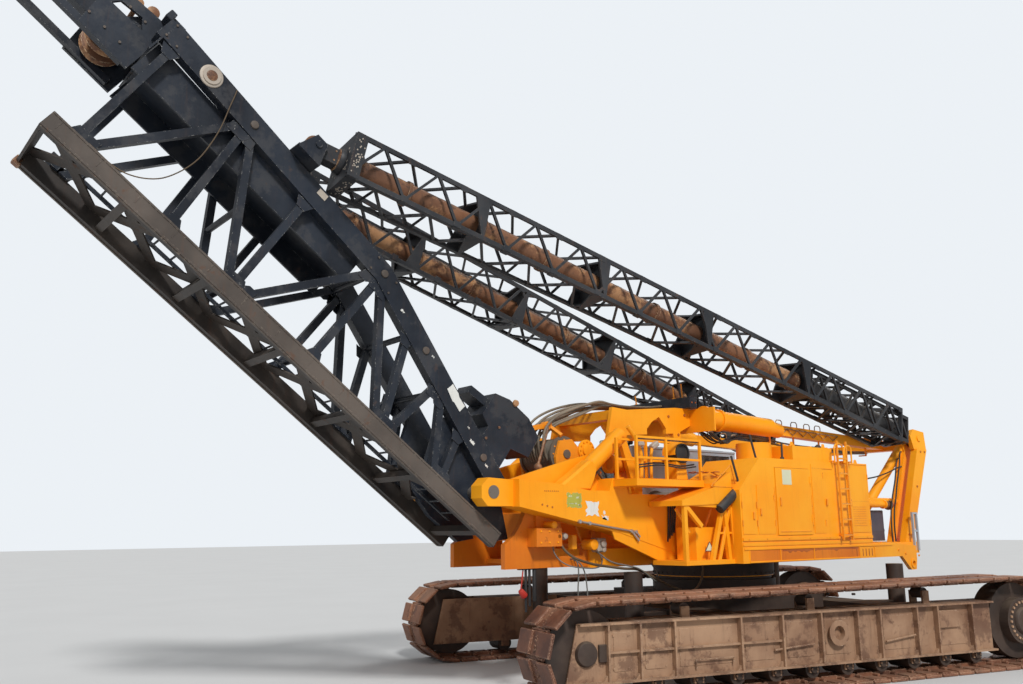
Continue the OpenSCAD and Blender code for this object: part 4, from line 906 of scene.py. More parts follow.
@dataclass
class LeaderDress:
    """Ladder, gussets, pin rings and sheaves of the leader: x runs along it, z behind its face."""

    rail: float = 6.8
    rail_back: float = 0.2
    ladder_at: float = 0.2
    rung_step: float = 0.24
    side: float = 0.535
    chord: float = 0.56
    head: Pair = (6.8, 1.856)
    rungs: int = 26
    clips: int = 14
    clip_step: float = 0.49
    head_pin: Pair = (6.1, 1.81)
    sheave: Pair = (7.1, 1.5)
    knee: Pair = (3.2, 1.64)
    toe: Pair = (0.2, 0.62)
    chord_half: float = 0.14
    braces: tuple[Pair, ...] = (
        (6.5, 6.56), (6.43, 5.5), (5.3, 5.47), (4.44, 5.4), (4.4, 4.45), (4.3, 3.3), (3.25, 3.2),
        (2.15, 3.15), (2.05, 2.5), (2.0, 1.8), (1.15, 1.7), (1.05, 1.2))

    def _chord_at(self, along: float) -> float:
        """Return how far behind the face the back chord's middle lies."""
        (u0, w0), (u1, w1) = (self.knee, self.head) if along > self.knee[0] else (self.toe, self.knee)
        return w0 + (w1 - w0) * (along - u0) / (u1 - u0)

    def _ladder(self) -> None:
        """Build the ladder behind the lacing."""
        ladder = Part("leader_ladder", "leader")
        w = self.ladder_at
        for y in (-0.19, 0.19):
            ladder.box((0.3, y - 0.02, w - 0.018), (self.rail - 0.2, y + 0.02, w + 0.022), 0.003)
        for k in range(self.rungs):
            u = 0.45 + k * self.rung_step
            ladder.rod((u, -0.19, w), (u, 0.19, w), 0.013, sides=10)
        ladder.done(Finish.LEADER)

    def _rails(self) -> None:
        """Build the wear strips and clips of the rails, and on each outer side face a plate of lighter steel
        that stands out against the painted shade of the rails' other faces.
        """
        strip = Part("leader_strips", "leader")
        strip.box((0.02, 0.585, -0.012), (self.rail - 0.02, 0.618, 0.0), 0.003)
        # Lighter rail steel over each rail's outer side face; the rails' other faces are darkened as painted
        # shade, so this face reads lit.
        strip.box((0.01, 0.6155, 0.004), (self.rail - 0.005, 0.6185, 0.196), 0.001)
        for w in (0.012, 0.188):
            strip.box((0.01, 0.617, w - 0.012), (self.rail - 0.005, 0.627, w + 0.012), 0.003)
        for k in range(self.clips):
            u = 0.3 + k * self.clip_step
            strip.box((u, 0.617, 0.07), (u + 0.012, 0.6215, 0.17), 0.0)
        strip.mirrored().done(Finish.RAIL)

    def _joints(self) -> None:
        """Build the gussets where braces meet rails and chords, and their rings."""
        gusset = Part("leader_gussets", "leader")
        y0, size, deep = self.side, 0.12, 0.12
        for index, (low, high) in enumerate(self.braces):
            edge = self._chord_at(high) - self.chord_half
            y1 = y0 + 0.008 + 0.0015 * (index % 3)
            lean = (high - low) * 0.08
            gusset.prism(((low - size, self.rail_back + 0.003), (low + size, self.rail_back + 0.003),
                          (low + size * 0.5 + lean, self.rail_back + deep),
                          (low - size * 0.5 + lean, self.rail_back + deep)), y0, y1, 0.002)
            gusset.prism(((high - size, edge), (high + size, edge), (high + size * 0.5 - lean, edge - deep),
                          (high - size * 0.5 - lean, edge - deep)), y0, y1, 0.002)
        gusset.mirrored().done(Finish.LEADER)
        rings = Part("leader_rings", "leader")
        for u in (0.75, 2.2, 3.2, 5.43):
            w = self._chord_at(u)
            rings.rod((u, self.chord, w), (u, self.chord + 0.02, w), 0.05, 0.045, 20, 0.004)
        rings.bolts([(u, self.chord, self._chord_at(u) + s * 0.09) for u in (3.02, 3.38, 6.55, 6.7)
                     for s in SIDES], ASIDE, 0.014)
        rings.mirrored().done(Finish.RAIL)
        u, w = self.head_pin
        halo = Part("leader_pin_pads", "leader")
        halo.rod((u, self.chord, w), (u, self.chord + 0.012, w), 0.135, 0.128, 36, 0.003)
        halo.ring((u, self.chord + 0.01, w), ASIDE, 0.1, 0.062, 0.014, 32)
        halo.mirrored().done(Finish.VALVE)
        core = Part("leader_pin_ends", "leader")
        core.rod((u, self.chord, w), (u, self.chord + 0.03, w), 0.062, sides=28, bevel=0.006)
        core.mirrored().done(Finish.TUBE)

    def _patches(self) -> None:
        """Build the white patch on the lower chord and the bare paint chips."""
        patch = Part("leader_patch", "leader")
        patch.prism(((1.37, 1.03), (1.5, 1.07), (1.53, 1.065), (1.68, 1.135), (1.66, 1.2), (1.655, 1.24),
                     (1.52, 1.2), (1.48, 1.17), (1.35, 1.137)), self.chord, self.chord + 0.004, 0.0)
        for u, w, wide in ((0.95, 0.83, 0.09), (1.12, 0.95, 0.05), (2.05, 1.3, 0.05), (2.7, 1.44, 0.07),
                           (0.62, 0.74, 0.06)):
            outline = ragged((u, w), (wide, wide * 0.5), u, 0.02)
            patch.prism(outline, self.chord, self.chord + 0.0015, 0.0)
        patch.done(Finish.WHITE)

    def _upper_end(self) -> None:
        """Build the sheaves, flange bolts and edge strips above the rails."""
        sheave = Part("leader_sheaves", "leader")
        u, w = self.sheave
        for y in (-0.12, 0.12):
            for s in SIDES:
                sheave.rod((u, y + s * 0.012, w), (u, y + s * 0.05, w), 0.19, 0.235, 40, 0.004)
            sheave.rod((u, y - 0.014, w), (u, y + 0.014, w), 0.19, sides=40)
            sheave.ring((u, y + 0.05, w), ASIDE, 0.15, 0.115, 0.01, 28)
        sheave.done(Finish.TUBE)
        lugs = Part("head_lugs", "leader")
        for y in (-0.27, -0.07, 0.07, 0.27):
            lugs.prism(((6.84, 1.56), (7.02, 1.5), (7.12, 1.72), (7.03, 1.86), (6.9, 1.8)), y - 0.014,
                       y + 0.014, 0.005)
            lugs.ring((6.97, y - 0.022, 1.7), ASIDE, 0.075, 0.045, 0.044)
        for s in SIDES:
            lugs.box((6.78, s * 0.44 - 0.1, 1.95), (6.86, s * 0.44 + 0.1, 2.06), 0.008)
            lugs.box((6.62, s * 0.44 - 0.06, 1.985), (6.8, s * 0.44 + 0.06, 2.03), 0.006)
        lugs.done(Finish.LEADER)
        Part("chord_plate", "leader").box((4.3, 0.562, 1.74), (4.43, 0.5665, 1.82), 0.0).done(Finish.VALVE)
        cap = Part("rail_cap", "leader")
        cap.box((6.735, -0.622, -0.03), (6.83, -0.5, 0.07), 0.012)
        cap.rod((6.78, -0.56, 0.07), (6.78, -0.56, 0.1), 0.03)
        cap.done(Finish.TUBE)
        rollers = Part("head_rollers", "leader")
        for u, w, radius in ((6.98, 2.0, 0.07), (7.14, 1.96, 0.05)):
            rollers.rod((u, -0.3, w), (u, 0.3, w), radius * 0.55, sides=18)
            for y in (-0.28, 0.28):
                rollers.rod((u, y - 0.035, w), (u, y + 0.035, w), radius, sides=26, bevel=0.01)
        rollers.done(Finish.TUBE)
        bolts = Part("leader_bolts", "leader")
        bolts.bolts([(u, 0.36, w) for u in (6.95, 7.15, 7.35) for w in (1.4, 1.8)], ASIDE)
        bolts.bolts([(u, 0.36, 1.8) for u in (7.6, 7.9, 8.2, 8.45)], ASIDE, 0.013)
        bolts.mirrored().bolts([(8.6, y, w) for y in (-0.32, 0.0, 0.32) for w in (1.35, 1.78)], AHEAD, 0.02)
        bolts.done(Finish.RAIL)

    def _cable(self) -> None:
        """Build the loose cable that hangs between the chord and the rails' end."""
        route = (
            (5.82, 0.57, 1.92), (5.79, 0.571, 1.84), (5.745, 0.573, 1.7), (5.66, 0.585, 1.45),
            (5.605, 0.6, 1.2), (5.578, 0.6, 0.95), (5.605, 0.6, 0.72), (5.68, 0.6, 0.5),
            (5.8, 0.6, 0.35), (5.95, 0.6, 0.25), (6.1, 0.6, 0.21), (6.25, 0.6, 0.207),
            (6.38, 0.6, 0.207))
        Hose("leader_cable", 0.014, route, Finish.BROWN_HOSE, "hanging", "medium", "leader").build()

    def _foot(self) -> None:
        """Build the rusty wear plates and bolts of the block behind the leader's foot."""
        foot = Part("leader_foot_trim", "leader")
        for y in (-0.22, 0.22):
            foot.rod((0.6, y * 1.1, 1.89), (0.6, y * 1.24, 1.89), 0.05, 0.042, 20, 0.005)
        foot.bolts([(u, 0.24, w) for u, w in ((0.55, 1.0), (0.7, 1.2), (0.62, 1.45))], ASIDE, 0.018)
        foot.done(Finish.TUBE)

    def build(self) -> None:
        """Build every piece of the leader."""
        self._ladder()
        self._rails()
        self._joints()
        self._patches()
        self._upper_end()
        self._foot()
        self._cable()


@dataclass
class StayDress:
    """Collars, end plates, paint chips and corner gussets of one backstay: x runs along it."""

    side: Side
    half: float = 0.30
    tube: float = 0.138
    start: float = 0.7
    back: float = 0.37
    bays: int = 14
    band: float = 0.15
    flakes: int = 30
    chips: int = 44
    collars: tuple[float, ...] = (3.16, 4.3, 5.2, 6.2, 7.2, 8.2, 9.2, 10.3)
    quarters: tuple[Matrix, ...] = tuple(Matrix.Rotation(math.radians(90 * k), 4, "X") for k in range(4))

    @property
    def top(self) -> float:
        """Where the cage's upper end lies."""
        return PLAN.stay_length - self.back

    def _part(self, stem: str, body: str = "stay") -> Part:
        """Start a piece of this side."""
        word = self.side.word
        return Part(f"{stem}_{word}", f"{body}_{word}", self.side.twin(PLAN.stay))

    def _collars(self) -> None:
        """Build the collars on the tube and the bolts of its end."""
        rings = self._part("stay_collars")
        for x in self.collars:
            rings.ring((x, 0, 0), AHEAD, self.tube + 0.022, self.tube + 0.0015, 0.05, 28)
        for s in SIDES:
            rings.bolts([(self.top + 0.12, s * 0.075, z) for z in (-0.06, 0.06)], (0, s, 0), 0.012, 0.01)
        rings.done(Finish.TUBE)

    def _bands(self) -> None:
        """Build the flat bands round the cage's end and the bare flakes on them."""
        top, half = self.top, self.half
        plate = Part("plate")
        plate.box((top - self.band, 0.01 - half, half - 0.004), (top - 0.003, half - 0.01, half + 0.004))
        band, flakes = self._part("stay_band"), self._part("stay_flakes")
        band.copies(plate, self.quarters)
        for turn, spin in enumerate(self.quarters):
            flake = Part("flake")
            for k in range(self.flakes):
                x = top - 0.075 + 0.11 * waver(k * 1.31, turn * 3.3, 0.2)
                y = 0.46 * waver(0.8, k * 1.77, turn * 2.1)
                if abs(y) < 0.27:
                    flake.box((x - 0.007, y - 0.009, half + 0.003), (x + 0.007, y + 0.009, half + 0.0055),
                              0.0)
            flakes.copies(flake, [spin])
            flake.bm.free()
        plate.bm.free()
        band.done(Finish.CAGE)
        flakes.done(Finish.VALVE)

    def _end(self) -> None:
        """Build the neck of the stay's head and the bare chips on the cage's end plate."""
        top, reach = self.top, 0.27
        neck = self._part("stay_neck")
        neck.rod((top + 0.002, 0, 0), (top + 0.07, 0, 0), 0.165, 0.15, 36, 0.01)
        neck.box((top + 0.06, -0.079, -0.106), (top + 0.27, 0.079, 0.106), 0.006)
        neck.done(Finish.CAGE)
        chips = self._part("stay_chips")
        for k in range(self.chips):
            y = reach * waver(k * 1.37, 0.4, 2.2) * 1.7
            z = reach * waver(0.8, k * 1.71, 5.1) * 1.7
            if max(abs(y), abs(z)) < reach and math.hypot(y, z) > 0.18:
                turn = Matrix.Rotation(math.radians(37 * k), 4, "X")
                chips.box((top, y - 0.012, z - 0.008), (top + 0.0015, y + 0.012, z + 0.008), 0.0, turn)
        chips.done(Finish.VALVE)

    def _plates(self) -> None:
        """Build the corner gussets of the outer cage."""
        top, half = self.top, self.half
        plates = self._part("stay_plates")
        step = (top - self.start) / self.bays
        for k in range(self.bays + 1):
            x = min(max(self.start + k * step, self.start + 0.06), top - 0.06)
            gusset = Part("gusset")
            for s in SIDES:
                low, high = sorted((s * (half - 0.005), s * (half - 0.085)))
                gusset.box((x - 0.05, low, half - 0.004), (x + 0.05, high, half + 0.005), 0.0)
            plates.copies(gusset, self.quarters)
            gusset.bm.free()
        plates.done(Finish.CAGE)

    def build(self) -> None:
        """Build the pieces of one stay."""
        self._collars()
        self._bands()
        self._end()
        self._plates()
        flange = self._part("barrel_trim", "barrel")
        for x in (0.52, 2.86):
            flange.ring((x, 0, 0), AHEAD, 0.196, 0.1665, 0.05, 32)
            flange.bolts(circle((x, 0, 0), 0.182, 10, "yz"), BACK, 0.01, 0.01)
        flange.done(Finish.BARREL)


# Upper works


@dataclass
class HouseDress:
    """Handles, hinges, roof ribs, ladder hoops, deck strips and the blank plate of the machine house."""

    wall: float = 1.72
    door_wall: float = 1.732
    ladder: float = 1.795
    rungs: int = 6
    louvers: int = 9
    slots: int = 6

    def _trim(self) -> None:
        """Build hinges, handles and panel bolts of the side wall."""
        y = self.wall
        trim = Part("house_trim")
        for x, low, high in ((-1.84, 2.1, 2.8), (-1.28, 2.1, 2.8), (-0.64, 2.1, 2.8), (0.58, 2.1, 2.45),
                             (0.98, 2.1, 2.35), (1.3, 2.1, 2.35)):
            for z in (low, high):
                trim.rod((x, y + 0.011, z - 0.04), (x, y + 0.011, z + 0.04), 0.01, sides=10)
        for x, z in ((-0.7, 2.4), (-1.34, 2.4), (0.9, 2.25), (1.06, 2.2)):
            trim.box((x - 0.014, y + 0.006, z - 0.05), (x + 0.014, y + 0.03, z + 0.05), 0.006)
        trim.bolts([(x, y + 0.018, 1.88) for x in (-1.7, -1.2, -0.7, -0.2, 0.3, 0.8, 1.2)], ASIDE, 0.01,
                   0.006)
        trim.done(Finish.AMBER_OLD)
        door = Part("house_door_trim", "house_door")
        door.box((0.42, self.door_wall - 0.003, 2.34), (0.45, self.door_wall + 0.02, 2.46), 0.006)
        door.box((-0.26, self.door_wall - 0.003, 1.97), (0.48, self.door_wall + 0.006, 1.985), 0.002)
        door.done(Finish.AMBER_OLD)

    def _seams(self) -> None:
        """Build the fine raised beads that divide the wall's sheets."""
        y = self.wall
        seams = Part("house_seams")
        for x, low, high in ((-0.98, 1.92, 2.98), (-0.335, 2.0, 2.5), (0.55, 1.92, 2.6)):
            seams.box((x - 0.004, y - 0.002, low), (x + 0.004, y + 0.005, high), 0.0)
        for x0, x1, z in ((-1.84, -1.28, 2.42), (-0.9, -0.36, 2.9), (-1.84, -1.28, 2.99)):
            seams.box((x0, y - 0.002, z - 0.003), (x1, y + 0.009, z + 0.003), 0.0)
        for k in range(self.louvers):
            z = 2.05 + k * 0.035
            seams.box((-1.74, y + 0.006, z), (-1.38, y + 0.0115, z + 0.012), 0.0)
        seams.done(Finish.AMBER_OLD)

    def _roof(self) -> None:
        """Build the roof's ribs, cowl rim, exhaust and lifting eyes."""
        roof = Part("house_roof")
        for x in (-0.92, -0.5, -0.08):
            roof.box((x - 0.02, 0.88, 3.215), (x + 0.02, 1.66, 3.235))
        roof.ring((0.35, 1.25, 3.235), UPWARD, 0.255, 0.19, 0.03, 32)
        for x, yy in ((-0.9, 1.6), (-0.1, 1.6), (-1.75, 0.9), (-1.75, 1.6)):
            top = 3.22 if x > -1.0 else 3.01
            roof.prism(((x - 0.05, top - 0.003), (x + 0.05, top - 0.003), (x + 0.02, top + 0.07),
                        (x - 0.02, top + 0.07)), yy - 0.008, yy + 0.008, 0.002)
        roof.done(Finish.AMBER)
        pipe = Part("exhaust")
        pipe.rod((-1.45, 1.1, 3.0), (-1.45, 1.1, 3.2), 0.075, sides=24, bevel=0.006)
        pipe.curve([(-1.45, 1.1, 3.2), (-1.46, 1.1, 3.26), (-1.53, 1.1, 3.31)], 0.05, 16)
        pipe.done(Finish.DARK_GEAR)

    def _hoops(self) -> None:
        """Build the ladder's hand hoops above the roof and its rusty treads."""
        hoops = Part("ladder_hoops")
        for xa, xb in ((-0.893, -1.134), (-1.169, -1.344)):
            mid, half = (xa + xb) / 2, (xa - xb) / 2
            bow = arc((mid, 3.2), (half, half * 0.75), (math.pi * k / 10 for k in range(11)))
            line = [(xa, 3.0), (xa, 3.1), *bow, (xb, 3.1), (xb, 3.0)]
            hoops.pipe([(x, self.ladder, z) for x, z in line], 0.0125)
            for x in (xa, xb):
                hoops.rod((x, 1.70, 3.02), (x, self.ladder, 3.02), 0.011, sides=8)
        hoops.done(Finish.AMBER)
        treads = Part("ladder_treads")
        for k in range(self.rungs):
            z = 1.9 + 0.23 * k
            treads.box((-1.207, 1.784, z + 0.02), (-0.993, 1.806, z + 0.024), 0.0)
        treads.done(Finish.TUBE)

    def _fascia(self) -> None:
        """Build the worn strips, the recess sheet darkened as painted shade and the louvers along the side
        deck's edge.
        """
        edge = Part("deck_edge")
        edge.box((-2.42, 1.72, 1.735), (1.3, 1.732, 1.765), 0.003)
        edge.box((-1.482, 1.72, 1.565), (1.185, 1.73, 1.58), 0.002)
        for x in (-1.9, -1.482, -0.3, 0.5, 1.185):
            edge.box((x - 0.006, 1.718, 1.575), (x + 0.006, 1.7275, 1.74), 0.0)
        edge.done(Finish.AMBER)
        # The recess sheet is amber darkened as painted shade.
        Part("deck_recess").box((-1.476, 1.719, 1.586), (1.179, 1.7208, 1.734), 0.0).done(Finish.AMBER_DEEP)
        worn = Part("deck_wear")
        steps = 60
        upper, lower = [], []
        for k in range(steps + 1):
            x = -1.45 + 1.9 * k / steps
            upper.append((x, 1.728 + 0.004 * waver(k * 0.9, 0.0, 0.5)))
            depth = 0.016 + 0.05 * max(0.0, waver(k * 0.37, 4.0, 0.5))
            lower.append((x, 1.722 - depth))
        worn.prism([*upper, *reversed(lower)], 1.7205, 1.722, 0.0)
        for k in range(self.slots):
            x = -1.84 + k * 0.085
            worn.box((x, 1.718, 1.59), (x + 0.022, 1.7215, 1.7), 0.0)
        worn.done(Finish.STAIN)

    def _plate(self) -> None:
        """Build the blank plate on the door."""
        plate = Part("blank_plate", "house_door")
        plate.box((0.148, self.door_wall - 0.001, 2.641), (0.364, self.door_wall + 0.003, 2.855), 0.001)
        plate.done(Finish.PALE)

    def build(self) -> None:
        """Build every piece of the house."""
        self._trim()
        self._seams()
        self._roof()
        self._hoops()
        self._fascia()
        self._plate()


@dataclass
class RecessDress:
    """What stands in the open bay in front of the house: frames, cylinder, mirrors and braces."""

    grains: int = 26
    hood_top: float = 2.80

    def _frames(self) -> None:
        """Build the thin frame, the braces and the cylinder with its hose."""
        frame = Part("bay_rods")
        frame.pipe([(1.753, 1.58, 2.596), (1.314, 1.58, 2.899), (1.216, 1.58, 2.587), (1.753, 1.58, 2.596)],
                   0.011, 8)
        frame.pipe([(1.55, 1.58, 2.735), (1.4, 1.3, 2.81)], 0.009, 8)
        frame.rod((1.62, 1.1, 1.62), (1.5, 1.35, 2.3), 0.02, sides=10)
        frame.done(Finish.AMBER_OLD)
        braces = Part("bay_braces")
        braces.beam((1.62, 1.55, 1.6), (1.36, 1.55, 2.3), 0.05, 0.03)
        braces.beam((1.3, 1.55, 2.32), (2.3, 1.55, 2.36), 0.05, 0.04)
        braces.beam((2.28, 1.4, 2.3), (2.02, 1.4, 1.98), 0.045, 0.02)
        braces.beam((1.34, 1.56, 2.3), (1.3, 1.56, 1.66), 0.045, 0.03)
        braces.box((1.3, 1.5, 1.955), (1.62, 1.56, 1.985))
        braces.done(Finish.AMBER)
        cylinder = Part("bay_cylinder")
        cylinder.rod((1.216, 1.6, 2.551), (1.628, 1.6, 2.282), 0.066, sides=28, bevel=0.018)
        cylinder.rod((1.19, 1.6, 2.568), (1.216, 1.6, 2.551), 0.03)
        cylinder.curve([(1.33, 1.56, 2.46), (1.31, 1.55, 2.36), (1.27, 1.55, 2.2), (1.28, 1.55, 2.02)],
                       0.014, 8)
        cylinder.done(Finish.TRIM)

    def _mirrors(self) -> None:
        """Build the arms of the mirrors."""
        mirrors = Part("mirror_arms")
        for (x, y, z), high in (((1.17, 1.6, 2.604), (1.316, 1.6, 3.02)),
                                ((0.743, 1.6, 2.942), (0.881, 1.6, 3.342)),
                                ((0.151, 1.6, 3.02), (0.143, 1.6, 3.267))):
            mirrors.rod((x, y, z), high, 0.016, sides=10)
            mirrors.rod((x, y, z), (x, y, z + 0.03), 0.03, sides=12, bevel=0.004)
        mirrors.done(Finish.TRIM)

    def _triangle(self) -> None:
        """Build the blank triangle on its bracket."""
        sign = Part("blank_triangle")
        sign.prism(((1.666, 1.727), (1.847, 1.732), (1.748, 1.864)), 1.5, 1.503, 0.0)
        sign.done(Finish.TRIM)
        face = Part("blank_triangle_face")
        face.prism(((1.686, 1.738), (1.827, 1.742), (1.749, 1.846)), 1.503, 1.505, 0.0)
        face.done(Finish.PALE)
        post = Part("triangle_bracket")
        post.box((1.74, 1.47, 1.61), (1.76, 1.5, 1.86), 0.003)
        post.box((1.70, 1.46, 1.61), (1.80, 1.54, 1.625), 0.003)
        post.done(Finish.AMBER_OLD)

    def _grit(self) -> None:
        """Build the rusty scraps that lie on the hood."""
        grit, z = Part("hood_grit"), self.hood_top
        for k in range(self.grains):
            x = 1.42 + 0.6 * abs(waver(k * 1.7, 0.3, 0))
            y = 1.1 + 0.84 * abs(waver(0.3, k * 1.3, 0)) % 0.42
            grit.box((x, y, z - 0.004), (x + 0.05, y + 0.04, z + 0.006), 0.0, Matrix.Rotation(k, 4, "Z"))
        grit.done(Finish.STAIN)

    def build(self) -> None:
        """Build the bay's pieces."""
        self._frames()
        self._mirrors()
        self._triangle()
        self._grit()


@dataclass
class FrontDress:
    """Patches, rod, valve blocks and hangers of the front bracket."""

    face: float = 0.98

    def _patches(self) -> None:
        """Build the lime and white remains and the bolts on the arm's side."""
        y = self.face
        lime = Part("lime_patch")
        lime.prism(ragged((3.575, 2.305), (0.262, 0.2), 1.0, 0.03), y, y + 0.0015, 0.0)
        lime.done(Finish.LIME)
        bits = Part("lime_patch_wear")
        for k, (x, z, wide, high) in enumerate(((3.74, 2.44, 0.07, 0.03), (3.62, 2.42, 0.06, 0.04),
                                                (3.66, 2.35, 0.14, 0.025), (3.6, 2.33, 0.05, 0.03))):
            bits.prism(ragged((x, z), (wide, high), 3.0 + k, 0.03), y + 0.0015, y + 0.0028, 0.0)
        bits.done(Finish.PALE)
        white = Part("white_patches")
        white.prism(ragged((3.275, 2.2), (0.24, 0.2), 5.2, 0.05), y, y + 0.0018, 0.0)
        white.prism(ragged((3.1, 2.15), (0.14, 0.075), 7.7, 0.05), y, y + 0.0018, 0.0)
        white.prism(ragged((3.16, 2.22), (0.05, 0.06), 9.1, 0.03), y, y + 0.0018, 0.0)
        white.done(Finish.WHITE)
        bolts = Part("arm_bolts")
        bolts.bolts([(4.24, y, 2.347), (4.159, y, 2.332), (4.077, y, 2.317)], ASIDE, 0.012, 0.008)
        bolts.bolts([(3.978 + 0.031 * k, y, 2.515) for k in range(8)], ASIDE, 0.008, 0.004)
        bolts.mirrored().done(Finish.STAIN)

    def _rod(self) -> None:
        """Build the silver rod under the arm with its end fittings."""
        y = self.face + 0.02
        rod = Part("lock_rod")
        rod.rod((3.6, y, 2.132), (2.66, y, 2.001), 0.014, sides=12)
        for x, z in ((3.637, 2.137), (3.47, 2.114), (2.72, 2.01), (2.635, 1.998)):
            rod.rod((x, self.face - 0.01, z), (x, y + 0.02, z), 0.024, sides=12, bevel=0.004)
        rod.beam((2.7, y, 2.0), (2.58, y, 1.88), 0.03, 0.02)
        rod.beam((2.62, y, 1.99), (2.56, y, 1.93), 0.026, 0.02)
        rod.done(Finish.SILVER)

    def _fairing(self) -> None:
        """Build the plates that blend the struts' feet into the arms."""
        plate = Part("strut_feet")
        plate.prism(((4.0, 2.53), (3.62, 2.77), (3.43, 2.9), (3.33, 2.955), (3.24, 2.82), (3.3, 2.66),
                     (3.38, 2.53)), 0.725, 0.95, 0.03)
        plate.mirrored().done(Finish.AMBER)

    def _webs(self) -> None:
        """Build the plate that closes the corner between the left arm and the deck."""
        web = Part("arm_web")
        web.prism(((3.0, 1.905), (3.12, 2.2), (2.72, 2.5), (1.95, 2.5), (1.75, 2.36), (1.6, 1.58),
                   (2.11, 1.58)), 0.95, 0.972, 0.004)
        web.box((1.72, 0.965, 1.6), (1.78, 0.985, 2.36))
        web.done(Finish.AMBER)
        slots = Part("arm_web_hoses")
        for k in range(4):
            x = 1.83 + 0.045 * k
            slots.curve([(x, 0.98, 2.4), (x + 0.01, 0.992, 2.25), (x + 0.03, 0.992, 2.1 - 0.04 * k),
                         (x + 0.04, 0.98, 1.98 - 0.04 * k)], 0.013, 8)
        slots.done(Finish.RUBBER)

    def _blocks(self) -> None:
        """Build the valve blocks, rollers and hanging rods under the bracket."""
        block = Part("valve_blocks")
        block.box((3.64, 0.6, 1.91), (3.86, 0.76, 2.0), 0.02)
        block.rod((3.7, 0.76, 1.955), (3.7, 0.8, 1.955), 0.036, sides=20, bevel=0.006)
        block.rod((3.8, 0.76, 1.955), (3.8, 0.79, 1.955), 0.03, sides=20, bevel=0.006)
        block.box((2.96, 0.6, 1.74), (3.12, 0.78, 1.925), 0.02)
        block.rod((3.04, 0.78, 1.85), (3.04, 0.81, 1.85), 0.045, sides=20, bevel=0.006)
        block.rod((3.03, 0.78, 1.77), (3.03, 0.8, 1.77), 0.03, sides=20, bevel=0.006)
        block.done(Finish.VALVE)
        roller = Part("bracket_rollers")
        roller.rod((3.2, 0.6, 1.84), (3.2, 0.8, 1.84), 0.07, sides=28, bevel=0.012)
        roller.rod((3.9, 0.6, 2.1), (3.9, 0.82, 2.1), 0.045, sides=24, bevel=0.008)
        roller.box((3.42, 0.6, 1.78), (3.5, 0.7, 1.97), 0.01)
        roller.bolts([(x, 0.79, z) for x in (3.83, 3.97, 4.11) for z in (1.88, 2.02)], ASIDE, 0.013, 0.01)
        roller.done(Finish.AMBER)
        rods = Part("hanger_rods")
        for x, low, high in ((4.18, 1.03, 1.86), (4.12, 1.1, 1.86), (4.04, 1.55, 1.86)):
            rods.rod((x, 0.56, low), (x, 0.56, high), 0.017, sides=12)
        rods.rod((4.04, 0.56, 1.156), (4.04, 0.56, 1.55), 0.024, sides=14, bevel=0.004)
        rods.box((3.9, 0.53, 1.545), (4.3, 0.59, 1.575), 0.005)
        rods.done(Finish.TRIM)
        handle = Part("red_handle")
        handle.rod((4.27, 0.56, 1.3), (4.2, 0.56, 1.22), 0.035, 0.05, 20, 0.012)
        handle.rod((4.22, 0.56, 1.56), (4.26, 0.56, 1.31), 0.009, sides=8)
        handle.done(Finish.RED)

    def _hoses(self) -> None:
        """Build the loose hoses that hang under the bracket."""
        hoses = (
            Hose("hose_long", 0.034, (
                (3.755, 0.74, 1.9), (3.738, 0.765, 1.825), (3.685, 0.805, 1.745), (3.58, 0.855, 1.67),
                (3.35, 0.9, 1.6), (3.08, 0.91, 1.56), (2.8, 0.92, 1.525), (2.55, 0.92, 1.505),
                (2.3, 0.91, 1.42), (2.0, 0.9, 1.3), (1.72, 0.88, 1.21), (1.5, 0.86, 1.17),
                (1.31, 0.845, 1.2), (1.18, 0.835, 1.32), (1.13, 0.83, 1.45), (1.12, 0.83, 1.55)),
                 Finish.BROWN_HOSE),
            Hose("hose_thin", 0.016, (
                (3.84, 0.7, 1.83), (3.845, 0.73, 1.75), (3.82, 0.82, 1.65), (3.7, 0.9, 1.58),
                (3.43, 0.94, 1.55), (3.24, 0.91, 1.56), (3.1, 0.82, 1.62), (3.03, 0.72, 1.7),
                (3.0, 0.645, 1.74)), Finish.GREY_HOSE),
            Hose("hose_loop_front", 0.018, (
                (3.46, 0.6, 1.66), (3.46, 0.67, 1.658), (3.475, 0.75, 1.62), (3.5, 0.8, 1.52),
                (3.53, 0.825, 1.38), (3.543, 0.83, 1.3), (3.541, 0.83, 1.21), (3.5286, 0.83, 1.1675),
                (3.4975, 0.83, 1.136), (3.455, 0.829, 1.1245), (3.4125, 0.826, 1.136),
                (3.381, 0.822, 1.1675), (3.369, 0.816, 1.21), (3.368, 0.81, 1.29), (3.371, 0.795, 1.42),
                (3.38, 0.77, 1.52), (3.388, 0.72, 1.595), (3.396, 0.66, 1.632), (3.4, 0.602, 1.643)),
                 Finish.GREY_HOSE),
            Hose("hose_loop_rear", 0.02, (
                (3.1, 0.645, 1.76), (3.1, 0.71, 1.75), (3.1, 0.8, 1.71), (3.07, 0.88, 1.65),
                (2.97, 0.93, 1.6), (2.78, 0.95, 1.565), (2.55, 0.95, 1.515), (2.33, 0.94, 1.4),
                (2.17, 0.9, 1.33), (2.05, 0.82, 1.36), (2.0, 0.74, 1.46), (2.0, 0.65, 1.56)),
                 Finish.GREY_HOSE))
        for hose in hoses:
            hose.build()

    def build(self) -> None:
        """Build every piece of the bracket."""
        self._patches()
        self._rod()
        self._fairing()
        self._webs()
        self._blocks()
        self._hoses()


